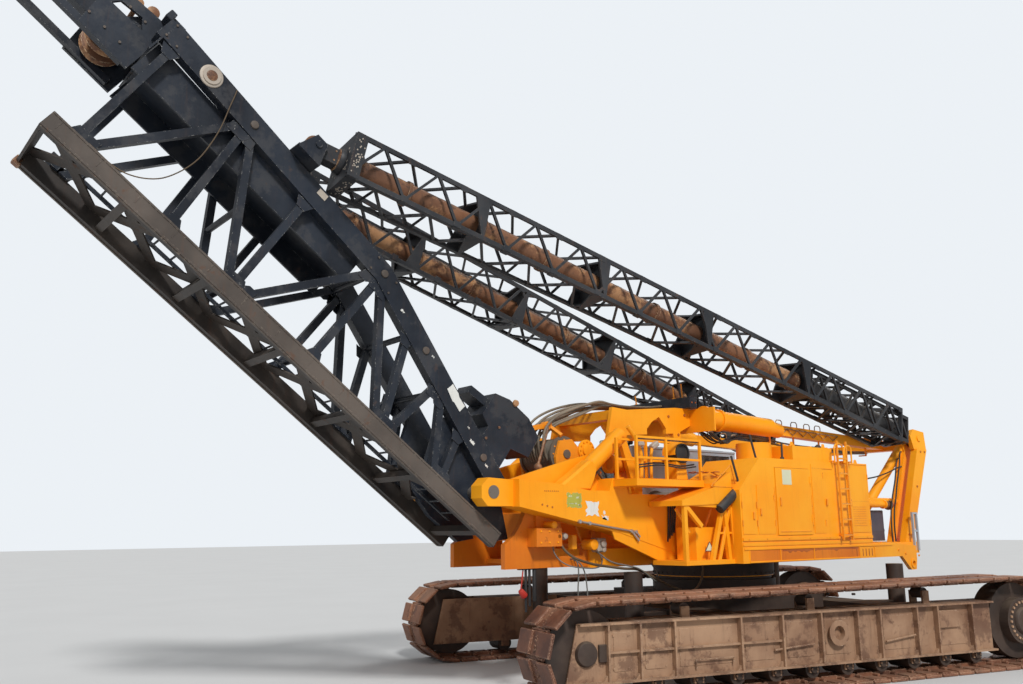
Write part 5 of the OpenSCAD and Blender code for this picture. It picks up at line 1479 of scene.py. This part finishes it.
@dataclass
class WinchDress:
    """Rope packs, the loose ropes, motor flanges, guide bar and sling of the winches."""

    front: Pair = (3.3, 3.05)
    rear: Pair = (0.7, 2.38)
    gear: Pair = (2.948, 3.113)
    motor: Pair = (0.43, 2.95)
    rope: float = 0.024
    ropes: int = 9
    low_rope: tuple[Pair, ...] = ((3.565, 3.18), (3.49, 3.33), (3.32, 3.45), (3.08, 3.54),
                                                 (2.82, 3.64),
                                                 (2.54, 3.76))
    high_rope: tuple[Pair, ...] = ((3.6, 3.24), (3.57, 3.4), (3.43, 3.56), (3.18, 3.69),
                                                  (2.86, 3.79), (2.52, 3.85))
    end_rope: tuple[Pair, ...] = ((2.0, 3.82), (1.7, 3.83), (1.4, 3.85), (1.185, 3.88))

    def _pack(self, name: str, body: str, centre: Pair, half: float, core: float) -> None:
        """Build the layers of rope on a drum.

        Args:
            name: the piece's name.
            body: the drum's body.
            centre: the drum's axis, in x and z.
            half: half the wound width.
            core: the pack's radius at the bottom of its grooves.
        """
        turns = int(2 * half / self.rope)
        line = [(0.0, -half)]
        for k in range(turns):
            middle = -half + (k + 0.5) * self.rope
            line += [(core + 0.5 * self.rope * math.sin(a), middle - 0.49 * self.rope * math.cos(a))
                     for a in (math.pi * s / 4 for s in range(5))]
        line.append((0.0, half))
        pack = Part(name, body)
        verts = [pack.bm.verts.new((r, y, 0)) for r, y in line]
        edges = [pack.bm.edges.new(pair) for pair in zip(verts, verts[1:])]
        bmesh.ops.spin(pack.bm, geom=verts + edges, cent=(0, 0, 0), axis=ASIDE, angle=math.tau, steps=36,
                       use_merge=True, use_duplicate=False)
        bmesh.ops.remove_doubles(pack.bm, verts=pack.bm.verts[:], dist=1e-5)
        bmesh.ops.translate(pack.bm, vec=(centre[0], 0, centre[1]), verts=pack.bm.verts[:])
        pack.done(Finish.ROPE, angle=60.0)

    def _loose(self) -> None:
        """Build the slack ropes that arch from the drum up over the gantry's front."""
        for k in range(self.ropes):
            side = -0.22 + 0.056 * k
            fan = side * 1.2
            share = ((k * 4) % 9) / 8
            wave = 0.04 * waver(k * 2.3, 0.7, 1.1)
            route = [(3.5, side, 2.97), (3.545, side, 3.06)]
            for low, high in zip(self.low_rope, self.high_rope):
                x, z = (a + (b - a) * share for a, b in zip(low, high))
                route.append((x + wave, fan, z + wave))
            route.append((2.27, side * 0.95, 3.8 + 0.05 * share))
            route += [(x, side * 0.9, z) for x, z in self.end_rope]
            Hose(f"slack_rope_{k + 1}", 0.036, tuple(route), Finish.SLACK, "loose", "stiff").build()

    def _machinery(self) -> None:
        """Build the gear cover, the motors' flanges and their end caps."""
        x0, z0 = self.gear
        cover = Part("gear_covers")
        cover.rod((x0, 0.385, z0), (x0, 0.42, z0), 0.15, sides=40, bevel=0.008)
        cover.rod((x0, 0.42, z0), (x0, 0.445, z0), 0.085, sides=32, bevel=0.01)
        cover.bolts(circle((x0, 0.42, z0), 0.122, 12), ASIDE, 0.013, 0.012)
        y, z = self.motor
        for x, thick, radius in ((2.5, 0.06, 0.145), (2.3, 0.03, 0.116), (2.12, 0.03, 0.116)):
            cover.ring((x, y, z), AHEAD, radius, 0.1, thick, 32)
        cover.bolts(circle((2.5, y, z), 0.127, 10, "yz"), BACK, 0.012, 0.014)
        cover.rod((1.98, y, z), (2.04, y, z), 0.06, 0.085, 28, 0.006)
        cover.mirrored().done(Finish.AMBER)
        hubs = Part("drum_hubs", "winch_front")
        hubs.bolts(circle((self.front[0], 0.34, self.front[1]), 0.2, 12), ASIDE, 0.012, 0.008)
        hubs.mirrored().done(Finish.AMBER_OLD)
        caps = Part("motor_lines")
        for y in (0.37, 0.49):
            caps.curve([(1.99, y, 2.95), (1.93, y, 2.94), (1.86, y, 2.86), (1.82, y, 2.72)], 0.014, 8)
        caps.mirrored().done(Finish.RUBBER)

    def _guide(self) -> None:
        """Build the guide bar before the drum, its ball-ended rod and the sling on the arm."""
        guide = Part("guide_bar")
        guide.beam((3.855, 0.2, 3.377), (3.42, 0.2, 3.459), 0.07, 0.07)
        guide.rod((3.51, 0.15, 3.44), (3.51, 0.25, 3.44), 0.06, sides=24, bevel=0.006)
        guide.beam((3.45, 0.2, 3.44), (3.36, 0.36, 3.3), 0.05, 0.05)
        guide.bolts(circle((3.51, 0.25, 3.44), 0.042, 6), ASIDE, 0.008, 0.006)
        guide.done(Finish.AMBER_OLD)
        rod = Part("ball_rod")
        rod.rod((3.523, 0.27, 3.41), (3.745, 0.3, 2.87), 0.02, sides=12)
        new = bmesh.ops.create_icosphere(rod.bm, subdivisions=3, radius=0.058)
        bmesh.ops.translate(rod.bm, vec=(3.737, 0.3, 2.86), verts=new["verts"])
        rod.done(Finish.TUBE)
        sling = Part("sling")
        for x in (3.364, 2.84):
            for y in (0.72, 0.745, 0.77, 0.795):
                sling.rod((x + (y - 0.75) * 0.6, y, 2.535), (3.073, 0.755 + (y - 0.755) * 0.3, 2.8), 0.011,
                          sides=8)
        sling.rod((3.073, 0.73, 2.8), (3.073, 0.78, 2.8), 0.03, bevel=0.005)
        sling.done(Finish.ROPE)

    def build(self) -> None:
        """Build every piece of the winches."""
        self._pack("rope_pack_front", "winch_front", self.front, 0.305, 0.212)
        self._pack("rope_pack_rear", "winch_rear", self.rear, 0.44, 0.205)
        self._loose()
        self._machinery()
        self._guide()


@dataclass
class PlatformDress:
    """Pipes, filter, valve and grating on the railed platform."""

    filter: Pair = (2.0, 3.05)
    bars: int = 30

    def _pipes(self) -> None:
        """Build the bent pipes that rise from the platform."""
        pipes = Part("platform_pipes")
        pipes.curve([(2.83, 1.1, 3.39), (2.72, 1.1, 3.28), (2.63, 1.1, 3.14), (2.58, 1.1, 2.98),
                     (2.59, 1.1, 2.8), (2.6, 1.1, 2.68)], 0.03, 12)
        pipes.curve([(2.45, 1.15, 2.68), (2.45, 1.15, 2.9), (2.43, 1.15, 3.08), (2.36, 1.13, 3.16)], 0.022,
                    12)
        pipes.rod((2.6, 1.1, 2.68), (2.6, 1.1, 2.7), 0.06, sides=20, bevel=0.004)
        pipes.done(Finish.AMBER)

    def _filter(self) -> None:
        """Build the air filter, its hood and the valve beside it."""
        tank = Part("platform_filter")
        x, z = self.filter
        tank.rod((x, 1.12, z), (x, 1.32, z), 0.115, sides=36, bevel=0.02)
        tank.ring((x, 1.3, z), ASIDE, 0.135, 0.112, 0.03, 36)
        tank.done(Finish.TRIM)
        hood = Part("filter_hood")
        turns = [math.radians(-10 + 20 * k) for k in range(11)]
        outer, inner = (arc(self.filter, (radius, radius), turns) for radius in (0.15, 0.138))
        hood.prism([*outer, *reversed(inner)], 1.08, 1.31, 0.0)
        hood.box((1.9, 1.1, 2.68), (2.1, 1.3, 2.94), 0.012)
        hood.done(Finish.AMBER)
        valve = Part("platform_valve")
        valve.box((2.3, 1.1, 3.12), (2.44, 1.19, 3.19), 0.015, Matrix.Rotation(math.radians(30), 4, "Y"))
        valve.box((2.6, 1.12, 3.13), (2.7, 1.2, 3.19), 0.012)
        valve.done(Finish.VALVE)

    def _grating(self) -> None:
        """Build the thin lines, the worn rail and the grating."""
        lines = Part("platform_lines")
        for dy, dz in ((0.0, 0.0), (0.03, -0.03)):
            lines.curve([(1.8, 1.34 + dy, 2.9 + dz), (2.1, 1.35 + dy, 2.87 + dz),
                         (2.5, 1.35 + dy, 2.9 + dz), (2.9, 1.34 + dy, 2.86 + dz)], 0.01, 8)
        lines.done(Finish.RUBBER)
        rail = Part("platform_rail_wear")
        rail.rod((1.74, 1.38, 3.2105), (2.94, 1.38, 3.2105), 0.0185, sides=12)
        rail.done(Finish.TUBE)
        mesh = Part("platform_grating")
        for k in range(self.bars):
            x = 1.74 + k * 0.043
            mesh.box((x, 1.0, 2.678), (x + 0.006, 1.4, 2.69), 0.0)
        for y in (1.1, 1.2, 1.3):
            mesh.box((1.72, y, 2.678), (2.99, y + 0.006, 2.688), 0.0)
        mesh.done(Finish.AMBER_OLD)

    def build(self) -> None:
        """Build the platform's pieces."""
        self._pipes()
        self._filter()
        self._grating()


@dataclass
class GantryDress:
    """Flanges, rods, zigzag rail, hoops and hoses of the tubes that run to the rear."""

    def _front(self) -> None:
        """Build the bolts of the flanges at the thick tubes' front ends and the rods on the black beam."""
        end = Part("tube_flanges")
        axis = Vector((-1.5, 0.055, -0.06)).normalized()
        base = Vector((1.0, 0.86, 3.64)) + axis * 0.05
        end.bolts([base + Vector(spot) for spot in circle((0, 0, 0), 0.168, 12, "yz")], axis, 0.011, 0.012)
        end.mirrored().done(Finish.STAIN)
        rods = Part("beam_rods")
        for x, y, high in ((1.08, 0.55, 4.19), (1.12, 0.42, 4.16), (1.1, -0.4, 4.12)):
            rods.rod((x, y, 3.96), (x + 0.02, y, high), 0.011, sides=10)
            rods.rod((x, y, 3.96), (x, y, 3.985), 0.028, sides=14, bevel=0.004)
        rods.done(Finish.AMBER_OLD)
        plate = Part("mast_bolts")
        plate.bolts([(x, 0.63, z) for x, z in ((1.15, 3.7), (1.5, 3.66), (1.3, 3.4), (1.2, 3.1))], ASIDE,
                    0.02)
        plate.bolts([(x, 0.782, 3.88) for x in (1.06, 1.14)], ASIDE, 0.012, 0.008)
        plate.mirrored().done(Finish.STAIN)

    def _zigzag(self) -> None:
        """Build the zigzag rail and hoops on the slim beams."""
        rail = Part("zigzag_rail")
        y, steps = 0.985, 12
        points = [(-0.6 - k * 0.14, y, (3.5 if k % 2 else 3.585) - k * 0.0046) for k in range(steps + 1)]
        rail.pipe(points, 0.007, 6)
        rail.pipe([(points[0][0], y, 3.588), (points[-1][0], y, 3.533)], 0.008, 6)
        for x in (-0.75, -1.15, -1.5, -1.8):
            z = 3.635 - 0.033 * (-0.6 - x)
            hoop = ((0, -0.02), (0, 0.07), (-0.03, 0.1), (-0.13, 0.1), (-0.16, 0.07), (-0.16, -0.02))
            rail.pipe([(x + dx, 0.87, z + dz) for dx, dz in hoop], 0.008, 8)
        rail.mirrored().done(Finish.TUBE)

    def _hoses(self) -> None:
        """Build the hose bundle clamped under the left beam and its tangle at the front."""
        bundle = Part("beam_hoses")
        for k in range(6):
            y, drop = 0.76 + 0.032 * (k % 3), 0.03 * (k // 3)
            bundle.curve([(0.45, y - 0.05, 3.33 - drop), (0.2, y, 3.42 - drop), (-0.1, y, 3.45 - drop),
                          (-0.6, y, 3.41 - drop), (-1.2, y, 3.37 - drop - 0.01 * k), (-1.9, y, 3.34 - drop),
                          (-2.7, y, 3.31 - drop), (-3.4, y, 3.33 - drop)], 0.012, 8)
        bundle.done(Finish.GREY_HOSE)
        clamps = Part("beam_clamps")
        for x, z in ((-0.58, 3.37), (-1.2, 3.33), (-1.9, 3.30), (-2.7, 3.27), (-3.3, 3.27)):
            clamps.box((x - 0.02, 0.73, z - 0.02), (x + 0.02, 0.86, z), 0.003)
            clamps.box((x - 0.02, 0.855, z - 0.02), (x + 0.02, 0.87, z + 0.19), 0.003)
        clamps.done(Finish.AMBER_OLD)
        tangle = Part("valve_tangle")
        for k in range(7):
            y = 0.72 + 0.04 * k
            wave = 0.07 * waver(k * 1.9, 3.1, 0.2)
            tangle.curve([(0.9, y, 3.42), (0.78 + wave, y + 0.02, 3.34 + wave), (0.6, y, 3.31 + wave * 1.3),
                          (0.42 - wave, y - 0.02, 3.34), (0.2, y, 3.4 + wave)], 0.011, 8)
        tangle.done(Finish.RUBBER)

    def _skirt(self) -> None:
        """Build the greasy cover and bolts round the slewing ring's upper half."""
        skirt = Part("slew_cover")
        centre, radius, count = (PLAN.axis_x, 0, 1.37), 0.936, 48
        skirt.ring((PLAN.axis_x, 0, 1.335), UPWARD, radius, 0.921, 0.2, 72)
        for spot, out in zip(circle(centre, radius, count, "xy"), circle((0, 0, 0), 1.0, count, "xy")):
            skirt.bolts([spot], out, 0.014, 0.01)
        skirt.done(Finish.DARK_GEAR)

    def build(self) -> None:
        """Build every piece of the gantry."""
        self._front()
        self._zigzag()
        self._hoses()
        self._skirt()


@dataclass
class RearDress:
    """Pipe, panel, hoses and bolts of the rear bay and gantry."""

    routes: tuple[tuple[Point, ...], ...] = (
        ((-3.7, 1.31, 3.31), (-3.62, 1.33, 3.3), (-3.51, 1.37, 3.22), (-3.43, 1.4, 3.08),
         (-3.36, 1.4, 2.9), (-3.28, 1.4, 2.7), (-3.2, 1.41, 2.5), (-3.12, 1.41, 2.3),
         (-3.08, 1.41, 2.05), (-3.08, 1.41, 1.785)),
        ((-3.655, 1.28, 3.2), (-3.56, 1.31, 3.19), (-3.43, 1.35, 3.12), (-3.33, 1.38, 2.98),
         (-3.24, 1.4, 2.8), (-3.14, 1.41, 2.62), (-3.05, 1.42, 2.45), (-2.99, 1.42, 2.25),
         (-2.97, 1.42, 2.05), (-2.97, 1.42, 1.785)),
        ((-1.875, 1.25, 2.85), (-2.02, 1.27, 2.84), (-2.3, 1.3, 2.8), (-2.7, 1.33, 2.84),
         (-3.0, 1.34, 2.9), (-3.2, 1.345, 2.95), (-3.4, 1.345, 3.01), (-3.59, 1.34, 3.05)))

    def build(self) -> None:
        """Build the rear pieces."""
        pipe = Part("rear_pipe")
        pipe.curve([(-1.9, 1.33, 2.62), (-2.2, 1.33, 2.46), (-2.5, 1.33, 2.4), (-2.9, 1.33, 2.4)], 0.055, 20)
        pipe.ring((-2.9, 1.33, 2.4), BACK, 0.075, 0.05, 0.04, 28)
        pipe.done(Finish.AMBER)
        ring = Part("rear_pipe_ring")
        ring.rod((-2.94, 1.33, 2.4), (-3.06, 1.33, 2.39), 0.07, 0.06, 28, 0.01)
        ring.ring((-3.06, 1.33, 2.39), BACK, 0.085, 0.03, 0.03, 28)
        ring.done(Finish.TUBE)
        panel = Part("rear_panel")
        panel.box((-3.0, 1.24, 1.8), (-2.5, 1.27, 2.3), 0.01)
        panel.box((-2.99, 1.272, 1.95), (-2.51, 1.276, 1.99), 0.0)
        panel.done(Finish.SLATE)
        rods = Part("gantry_bolts")
        spots = ((-3.95, 3.3), (-3.82, 3.3), (-3.6, 2.7), (-3.45, 2.2), (-3.3, 1.9), (-3.2, 1.9))
        rods.bolts([(x, 1.585, z) for x, z in spots], ASIDE, 0.018, 0.012)
        rods.mirrored().done(Finish.STAIN)
        for k, route in enumerate(self.routes):
            Hose(f"rear_hose_{k + 1}", 0.024, route).build()


@dataclass
class CabDress:
    """Seat, console, levers, wiper, handles and lamps of the cab."""

    front: float = 0.85
    middle: float = -1.25
    floor: float = 1.99

    def _cushion(self, name: str, low: Point, high: Point, crown: float) -> bpy.types.Object:
        """Build a crowned cushion.

        Args:
            name: the piece's name.
            low: its lowest corner.
            high: its highest corner.
            crown: how far its faces swell out.

        Returns:
            The finished cushion.
        """
        pad = Part(name)
        new = bmesh.ops.create_cube(pad.bm, size=2.0)
        bmesh.ops.subdivide_edges(pad.bm, edges=list(edges_of(new["verts"])), cuts=7, use_grid_fill=True)
        half = (Vector(high) - Vector(low)) / 2
        middle = (Vector(high) + Vector(low)) / 2
        for vert in pad.bm.verts:
            x, y, z = vert.co
            others = ((y, z), (x, z), (x, y))
            soft = [1 - 0.5 * (a * a + b * b) * 0.35 for a, b in others]
            swell = [1 + crown * (1 - a * a) * (1 - b * b) for a, b in others]
            vert.co = middle + Vector(c * h * s * w for c, h, s, w in zip((x, y, z), half, soft, swell))
        piece = pad.done(Finish.TRIM, angle=80.0)
        return piece

    def _inside(self) -> None:
        """Build the seat, console, levers and screen."""
        y, z = self.middle, self.floor
        self._cushion("seat_cushion", (-0.95, y - 0.26, z + 0.42), (-0.45, y + 0.26, z + 0.56), 0.15)
        self._cushion("seat_back", (-1.12, y - 0.24, z + 0.56), (-0.96, y + 0.24, z + 1.1), 0.2)
        base = Part("seat_base")
        base.box((-0.9, y - 0.18, z), (-0.5, y + 0.18, z + 0.42), 0.02)
        for side in (y - 0.36, y + 0.36):
            base.box((-0.95, side - 0.09, z), (-0.25, side + 0.09, z + 0.62), 0.02)
            base.rod((-0.35, side, z + 0.62), (-0.3, side, z + 0.86), 0.012, sides=10)
            base.rod((-0.305, side, z + 0.84), (-0.295, side, z + 0.9), 0.026, sides=14, bevel=0.008)
        base.box((0.35, y - 0.3, z), (0.6, y + 0.3, z + 0.75), 0.03)
        base.box((0.4, y - 0.14, z + 0.75), (0.44, y + 0.14, z + 0.98), 0.01)
        for s in SIDES:
            base.beam((0.15, y + s * 0.12, z), (0.22, y + s * 0.12, z + 0.3), 0.02, 0.09)
        base.done(Finish.TRIM)

    def _outside(self) -> None:
        """Build the wiper, handles, gutter and lamps."""
        trim = Part("cab_trim")
        trim.rod((self.front, -1.25, 3.31), (self.front + 0.035, -1.25, 3.31), 0.03, bevel=0.004)
        trim.pipe([(self.front + 0.022, -1.25, 3.31), (self.front + 0.022, -1.1, 2.9)], 0.007, 8)
        trim.box((self.front + 0.006, -1.12, 2.62), (self.front + 0.018, -1.1, 3.1), 0.002)
        for x in (0.72, -1.68):
            trim.pipe([(x, -1.72, 2.3), (x, -1.765, 2.33), (x, -1.765, 2.87), (x, -1.72, 2.9)], 0.012)
        trim.done(Finish.TRIM)
        gutter = Part("cab_gutter")
        for y in (-1.735, -0.785):
            gutter.box((-1.75, y, 3.335), (0.85, y + 0.02, 3.36))
        gutter.box((-1.6, -1.6, 3.365), (0.7, -0.9, 3.39), 0.012)
        gutter.done(Finish.CAB)
        for k, y in enumerate((-0.95, -1.55)):
            lamp = Part(f"cab_lamp_{k + 1}")
            lamp.box((0.7, y - 0.07, 3.4), (0.8, y + 0.07, 3.52), 0.02)
            lamp.rod((0.75, y, 3.36), (0.75, y, 3.4), 0.015, sides=10)
            lamp.done(Finish.TRIM)
            lens = Part(f"cab_lamp_lens_{k + 1}")
            lens.rod((0.798, y, 3.46), (0.812, y, 3.46), 0.048, 0.04, 24, 0.004)
            lens.done(Finish.PALE)
        door = Part("cab_door_handle", "cab_door")
        door.box((0.5, -1.75, 2.58), (0.56, -1.725, 2.62), 0.006)
        door.done(Finish.TRIM)

    def build(self) -> None:
        """Build every piece of the cab."""
        self._inside()
        self._outside()


@dataclass
class DeckDress:
    """Bolts and plates of the revolving frame and the carbody."""

    def build(self) -> None:
        """Build the deck's and the carbody's pieces."""
        bolts = Part("deck_bolts")
        bolts.bolts([(x, 1.3, 1.78) for x in (-2.3, -2.1)] + [(x, 1.6, 1.78) for x in (-2.3, -2.1)], UPWARD)
        bolts.bolts([(x, 1.72, z) for x, z in ((-3.2, 1.56), (-2.8, 1.6), (-2.6, 1.66))], ASIDE, 0.016)
        bolts.mirrored().done(Finish.AMBER_OLD)
        ring = Part("gusset_ring")
        ring.ring((-3.02, 1.72, 1.44), ASIDE, 0.075, 0.042, 0.012, 28)
        ring.mirrored().done(Finish.AMBER)
        shade = Part("carbody_bolts", "base", PLAN.lower)
        for x, y in ((2.0, 0.9), (1.75, 0.6), (-1.75, 0.6), (-2.0, 0.9)):
            shade.bolts([(x, s * y, 0.98) for s in SIDES], UPWARD, 0.03, 0.03)
        shade.done(Finish.DARK_GEAR)


# Studio


@dataclass
class Studio:
    """Floor, lights and the camera at the photograph's angle."""

    camera_at: Trio = (8.7023, 9.93, 2.05)
    yaw: float = -128.0
    pitch: float = 11.46
    roll: float = -0.59
    lens: float = 32.5
    sensor: float = 36.0
    sight: float = 300.0
    floor_half: float = 120.0
    floor_drop: float = 0.002
    floor_tones: tuple[Light, Light] = ((0.60, 0.60, 0.59, 1), (0.66, 0.66, 0.65, 1))
    glow: Light = (0.93, 0.96, 1.0, 1)
    glow_strength: float = 0.42
    sky: Light = (0.84, 0.88, 0.92, 1)
    lamps: tuple[tuple[str, Point, float, float], ...] = (
        ("key", (-0.35, -0.75, -0.72), 2.5, 8.0), ("rim", (0.8, 0.2, -0.5), 0.4, 30.0))

    def _camera(self) -> None:
        """Place the camera."""
        yaw, pitch, roll = (math.radians(v) for v in (self.yaw, self.pitch, self.roll))
        ahead = Vector((math.cos(pitch) * math.cos(yaw), math.cos(pitch) * math.sin(yaw), math.sin(pitch)))
        right = Vector((math.sin(yaw), -math.cos(yaw), 0))
        up = right.cross(ahead)
        level_right = right * math.cos(roll) + up * math.sin(roll)
        level_up = up * math.cos(roll) - right * math.sin(roll)
        data = bpy.data.cameras.new("camera")
        data.lens, data.sensor_width = self.lens, self.sensor
        data.clip_end = self.sight
        camera = link("camera", data)
        turn = Matrix((level_right, level_up, -ahead)).transposed().to_4x4()
        camera.matrix_world = Matrix.Translation(self.camera_at) @ turn
        bpy.context.scene.camera = camera

    def _lamp(self, name: str, direction: Point, strength: float, spread: float) -> None:
        """Add a far lamp that shines along a direction."""
        data = bpy.data.lights.new(name, "SUN")
        data.energy, data.angle = strength, math.radians(spread)
        lamp = link(name, data)
        lamp.rotation_euler = Vector(direction).to_track_quat("-Z", "Y").to_euler()

    def _backdrop(self) -> None:
        """Build the floor and the plain pale surroundings."""
        bm = bmesh.new()
        bmesh.ops.create_grid(bm, x_segments=1, y_segments=1, size=self.floor_half)
        bmesh.ops.translate(bm, vec=(0, 0, -self.floor_drop), verts=bm.verts[:])
        mesh = bpy.data.meshes.new("floor")
        bm.to_mesh(mesh)
        bm.free()
        g = Graph("floor_grey")
        where = g.node("ShaderNodeTexCoord", {}, {}).outputs["Object"]
        tone = g.blend(g.noise(where, GROUND), *self.floor_tones)
        mesh.materials.append(g.surface(Base_Color=tone, Roughness=0.9))
        floor = link("floor", mesh)

    def _world(self) -> None:
        """Light the surroundings evenly and show them pale."""
        world = bpy.data.worlds.new("studio")
        world.use_nodes = True
        tree = world.node_tree
        tree.nodes.clear()
        light, seen = (tree.nodes.new("ShaderNodeBackground") for _ in range(2))
        light.inputs["Color"].default_value = self.glow
        light.inputs["Strength"].default_value = self.glow_strength
        seen.inputs["Color"].default_value = self.sky
        rays = tree.nodes.new("ShaderNodeLightPath")
        mix = tree.nodes.new("ShaderNodeMixShader")
        out = tree.nodes.new("ShaderNodeOutputWorld")
        for socket, source in zip(mix.inputs, (rays.outputs["Is Camera Ray"], light.outputs[0],
                                               seen.outputs[0])):
            tree.links.new(source, socket)
        tree.links.new(mix.outputs[0], out.inputs[0])
        bpy.context.scene.world = world

    def build(self) -> None:
        """Set up the whole studio."""
        bpy.context.scene.view_settings.view_transform = "Standard"
        self._camera()
        self._backdrop()
        self._world()
        for lamp in self.lamps:
            self._lamp(*lamp)


# Whole machine


@dataclass
class Machine:
    """The whole machine: the finish of each CAD node and the added pieces."""

    frame: dict[str, Any]
    finishes: dict[str, Finish] = field(default_factory=lambda: {
        "carbody": Finish.DARK_GEAR, "frame": Finish.GEAR, "wheels": Finish.DARK_GEAR, "jack": Finish.GREY,
        "deck": Finish.AMBER, "house": Finish.AMBER, "engine": Finish.DARK_GEAR, "cab_shell": Finish.CAB,
        "cab_door": Finish.CAB, "cab_glass": Finish.PANE, "door_glass": Finish.PANE, "arms": Finish.AMBER,
        # The bracket's lower frame takes the amber darkened as painted shade.
        "front_frame": Finish.AMBER_DEEP, "struts": Finish.AMBER, "mast": Finish.AMBER,
        "black_beam": Finish.LEADER,
        "top_tubes": Finish.AMBER, "rear_gantry": Finish.AMBER, "winch_frame": Finish.AMBER_OLD,
        "winch": Finish.ROPE, "platform": Finish.AMBER, "ladder": Finish.AMBER_OLD, "rear_rail": Finish.CAB,
        # The rails node takes the dark rail steel with painted shade.
        "leader_rails": Finish.LACE, "leader": Finish.LEADER, "hinge_pins": Finish.STEEL,
        "barrel": Finish.BARREL,
        "stay": Finish.CAGE, "tube": Finish.TUBE, "track": Finish.SHOE})

    def paint(self) -> None:
        """Give every CAD node its finish, by the longest name that fits."""
        for name, node in self.frame["nodes"].items():
            fits = [key for key in self.finishes if name.startswith(key)]
            finish = self.finishes[max(fits, key=len)]
            for slot in node.material_slots:
                slot.material = PAINTS.get(finish)
            LOG.info("%s painted %s", name, finish.name)

    def build(self) -> None:
        """Build the added pieces."""
        self.paint()
        for side in Side:
            TrackLoop(side).build()
            SideFrame(side).build()
            StayDress(side).build()
        for dress in (FrontDress, WinchDress, RearDress, LeaderDress, HouseDress, RecessDress,
                      PlatformDress, GantryDress, CabDress, DeckDress):
            dress().build()


def main() -> None:
    """Load the frame and build the machine and its studio."""
    logging.basicConfig(level=logging.INFO, format="%(name)s %(message)s")
    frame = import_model()
    Studio().build()
    Machine(frame).build()


if __name__ == "__main__":
    main()
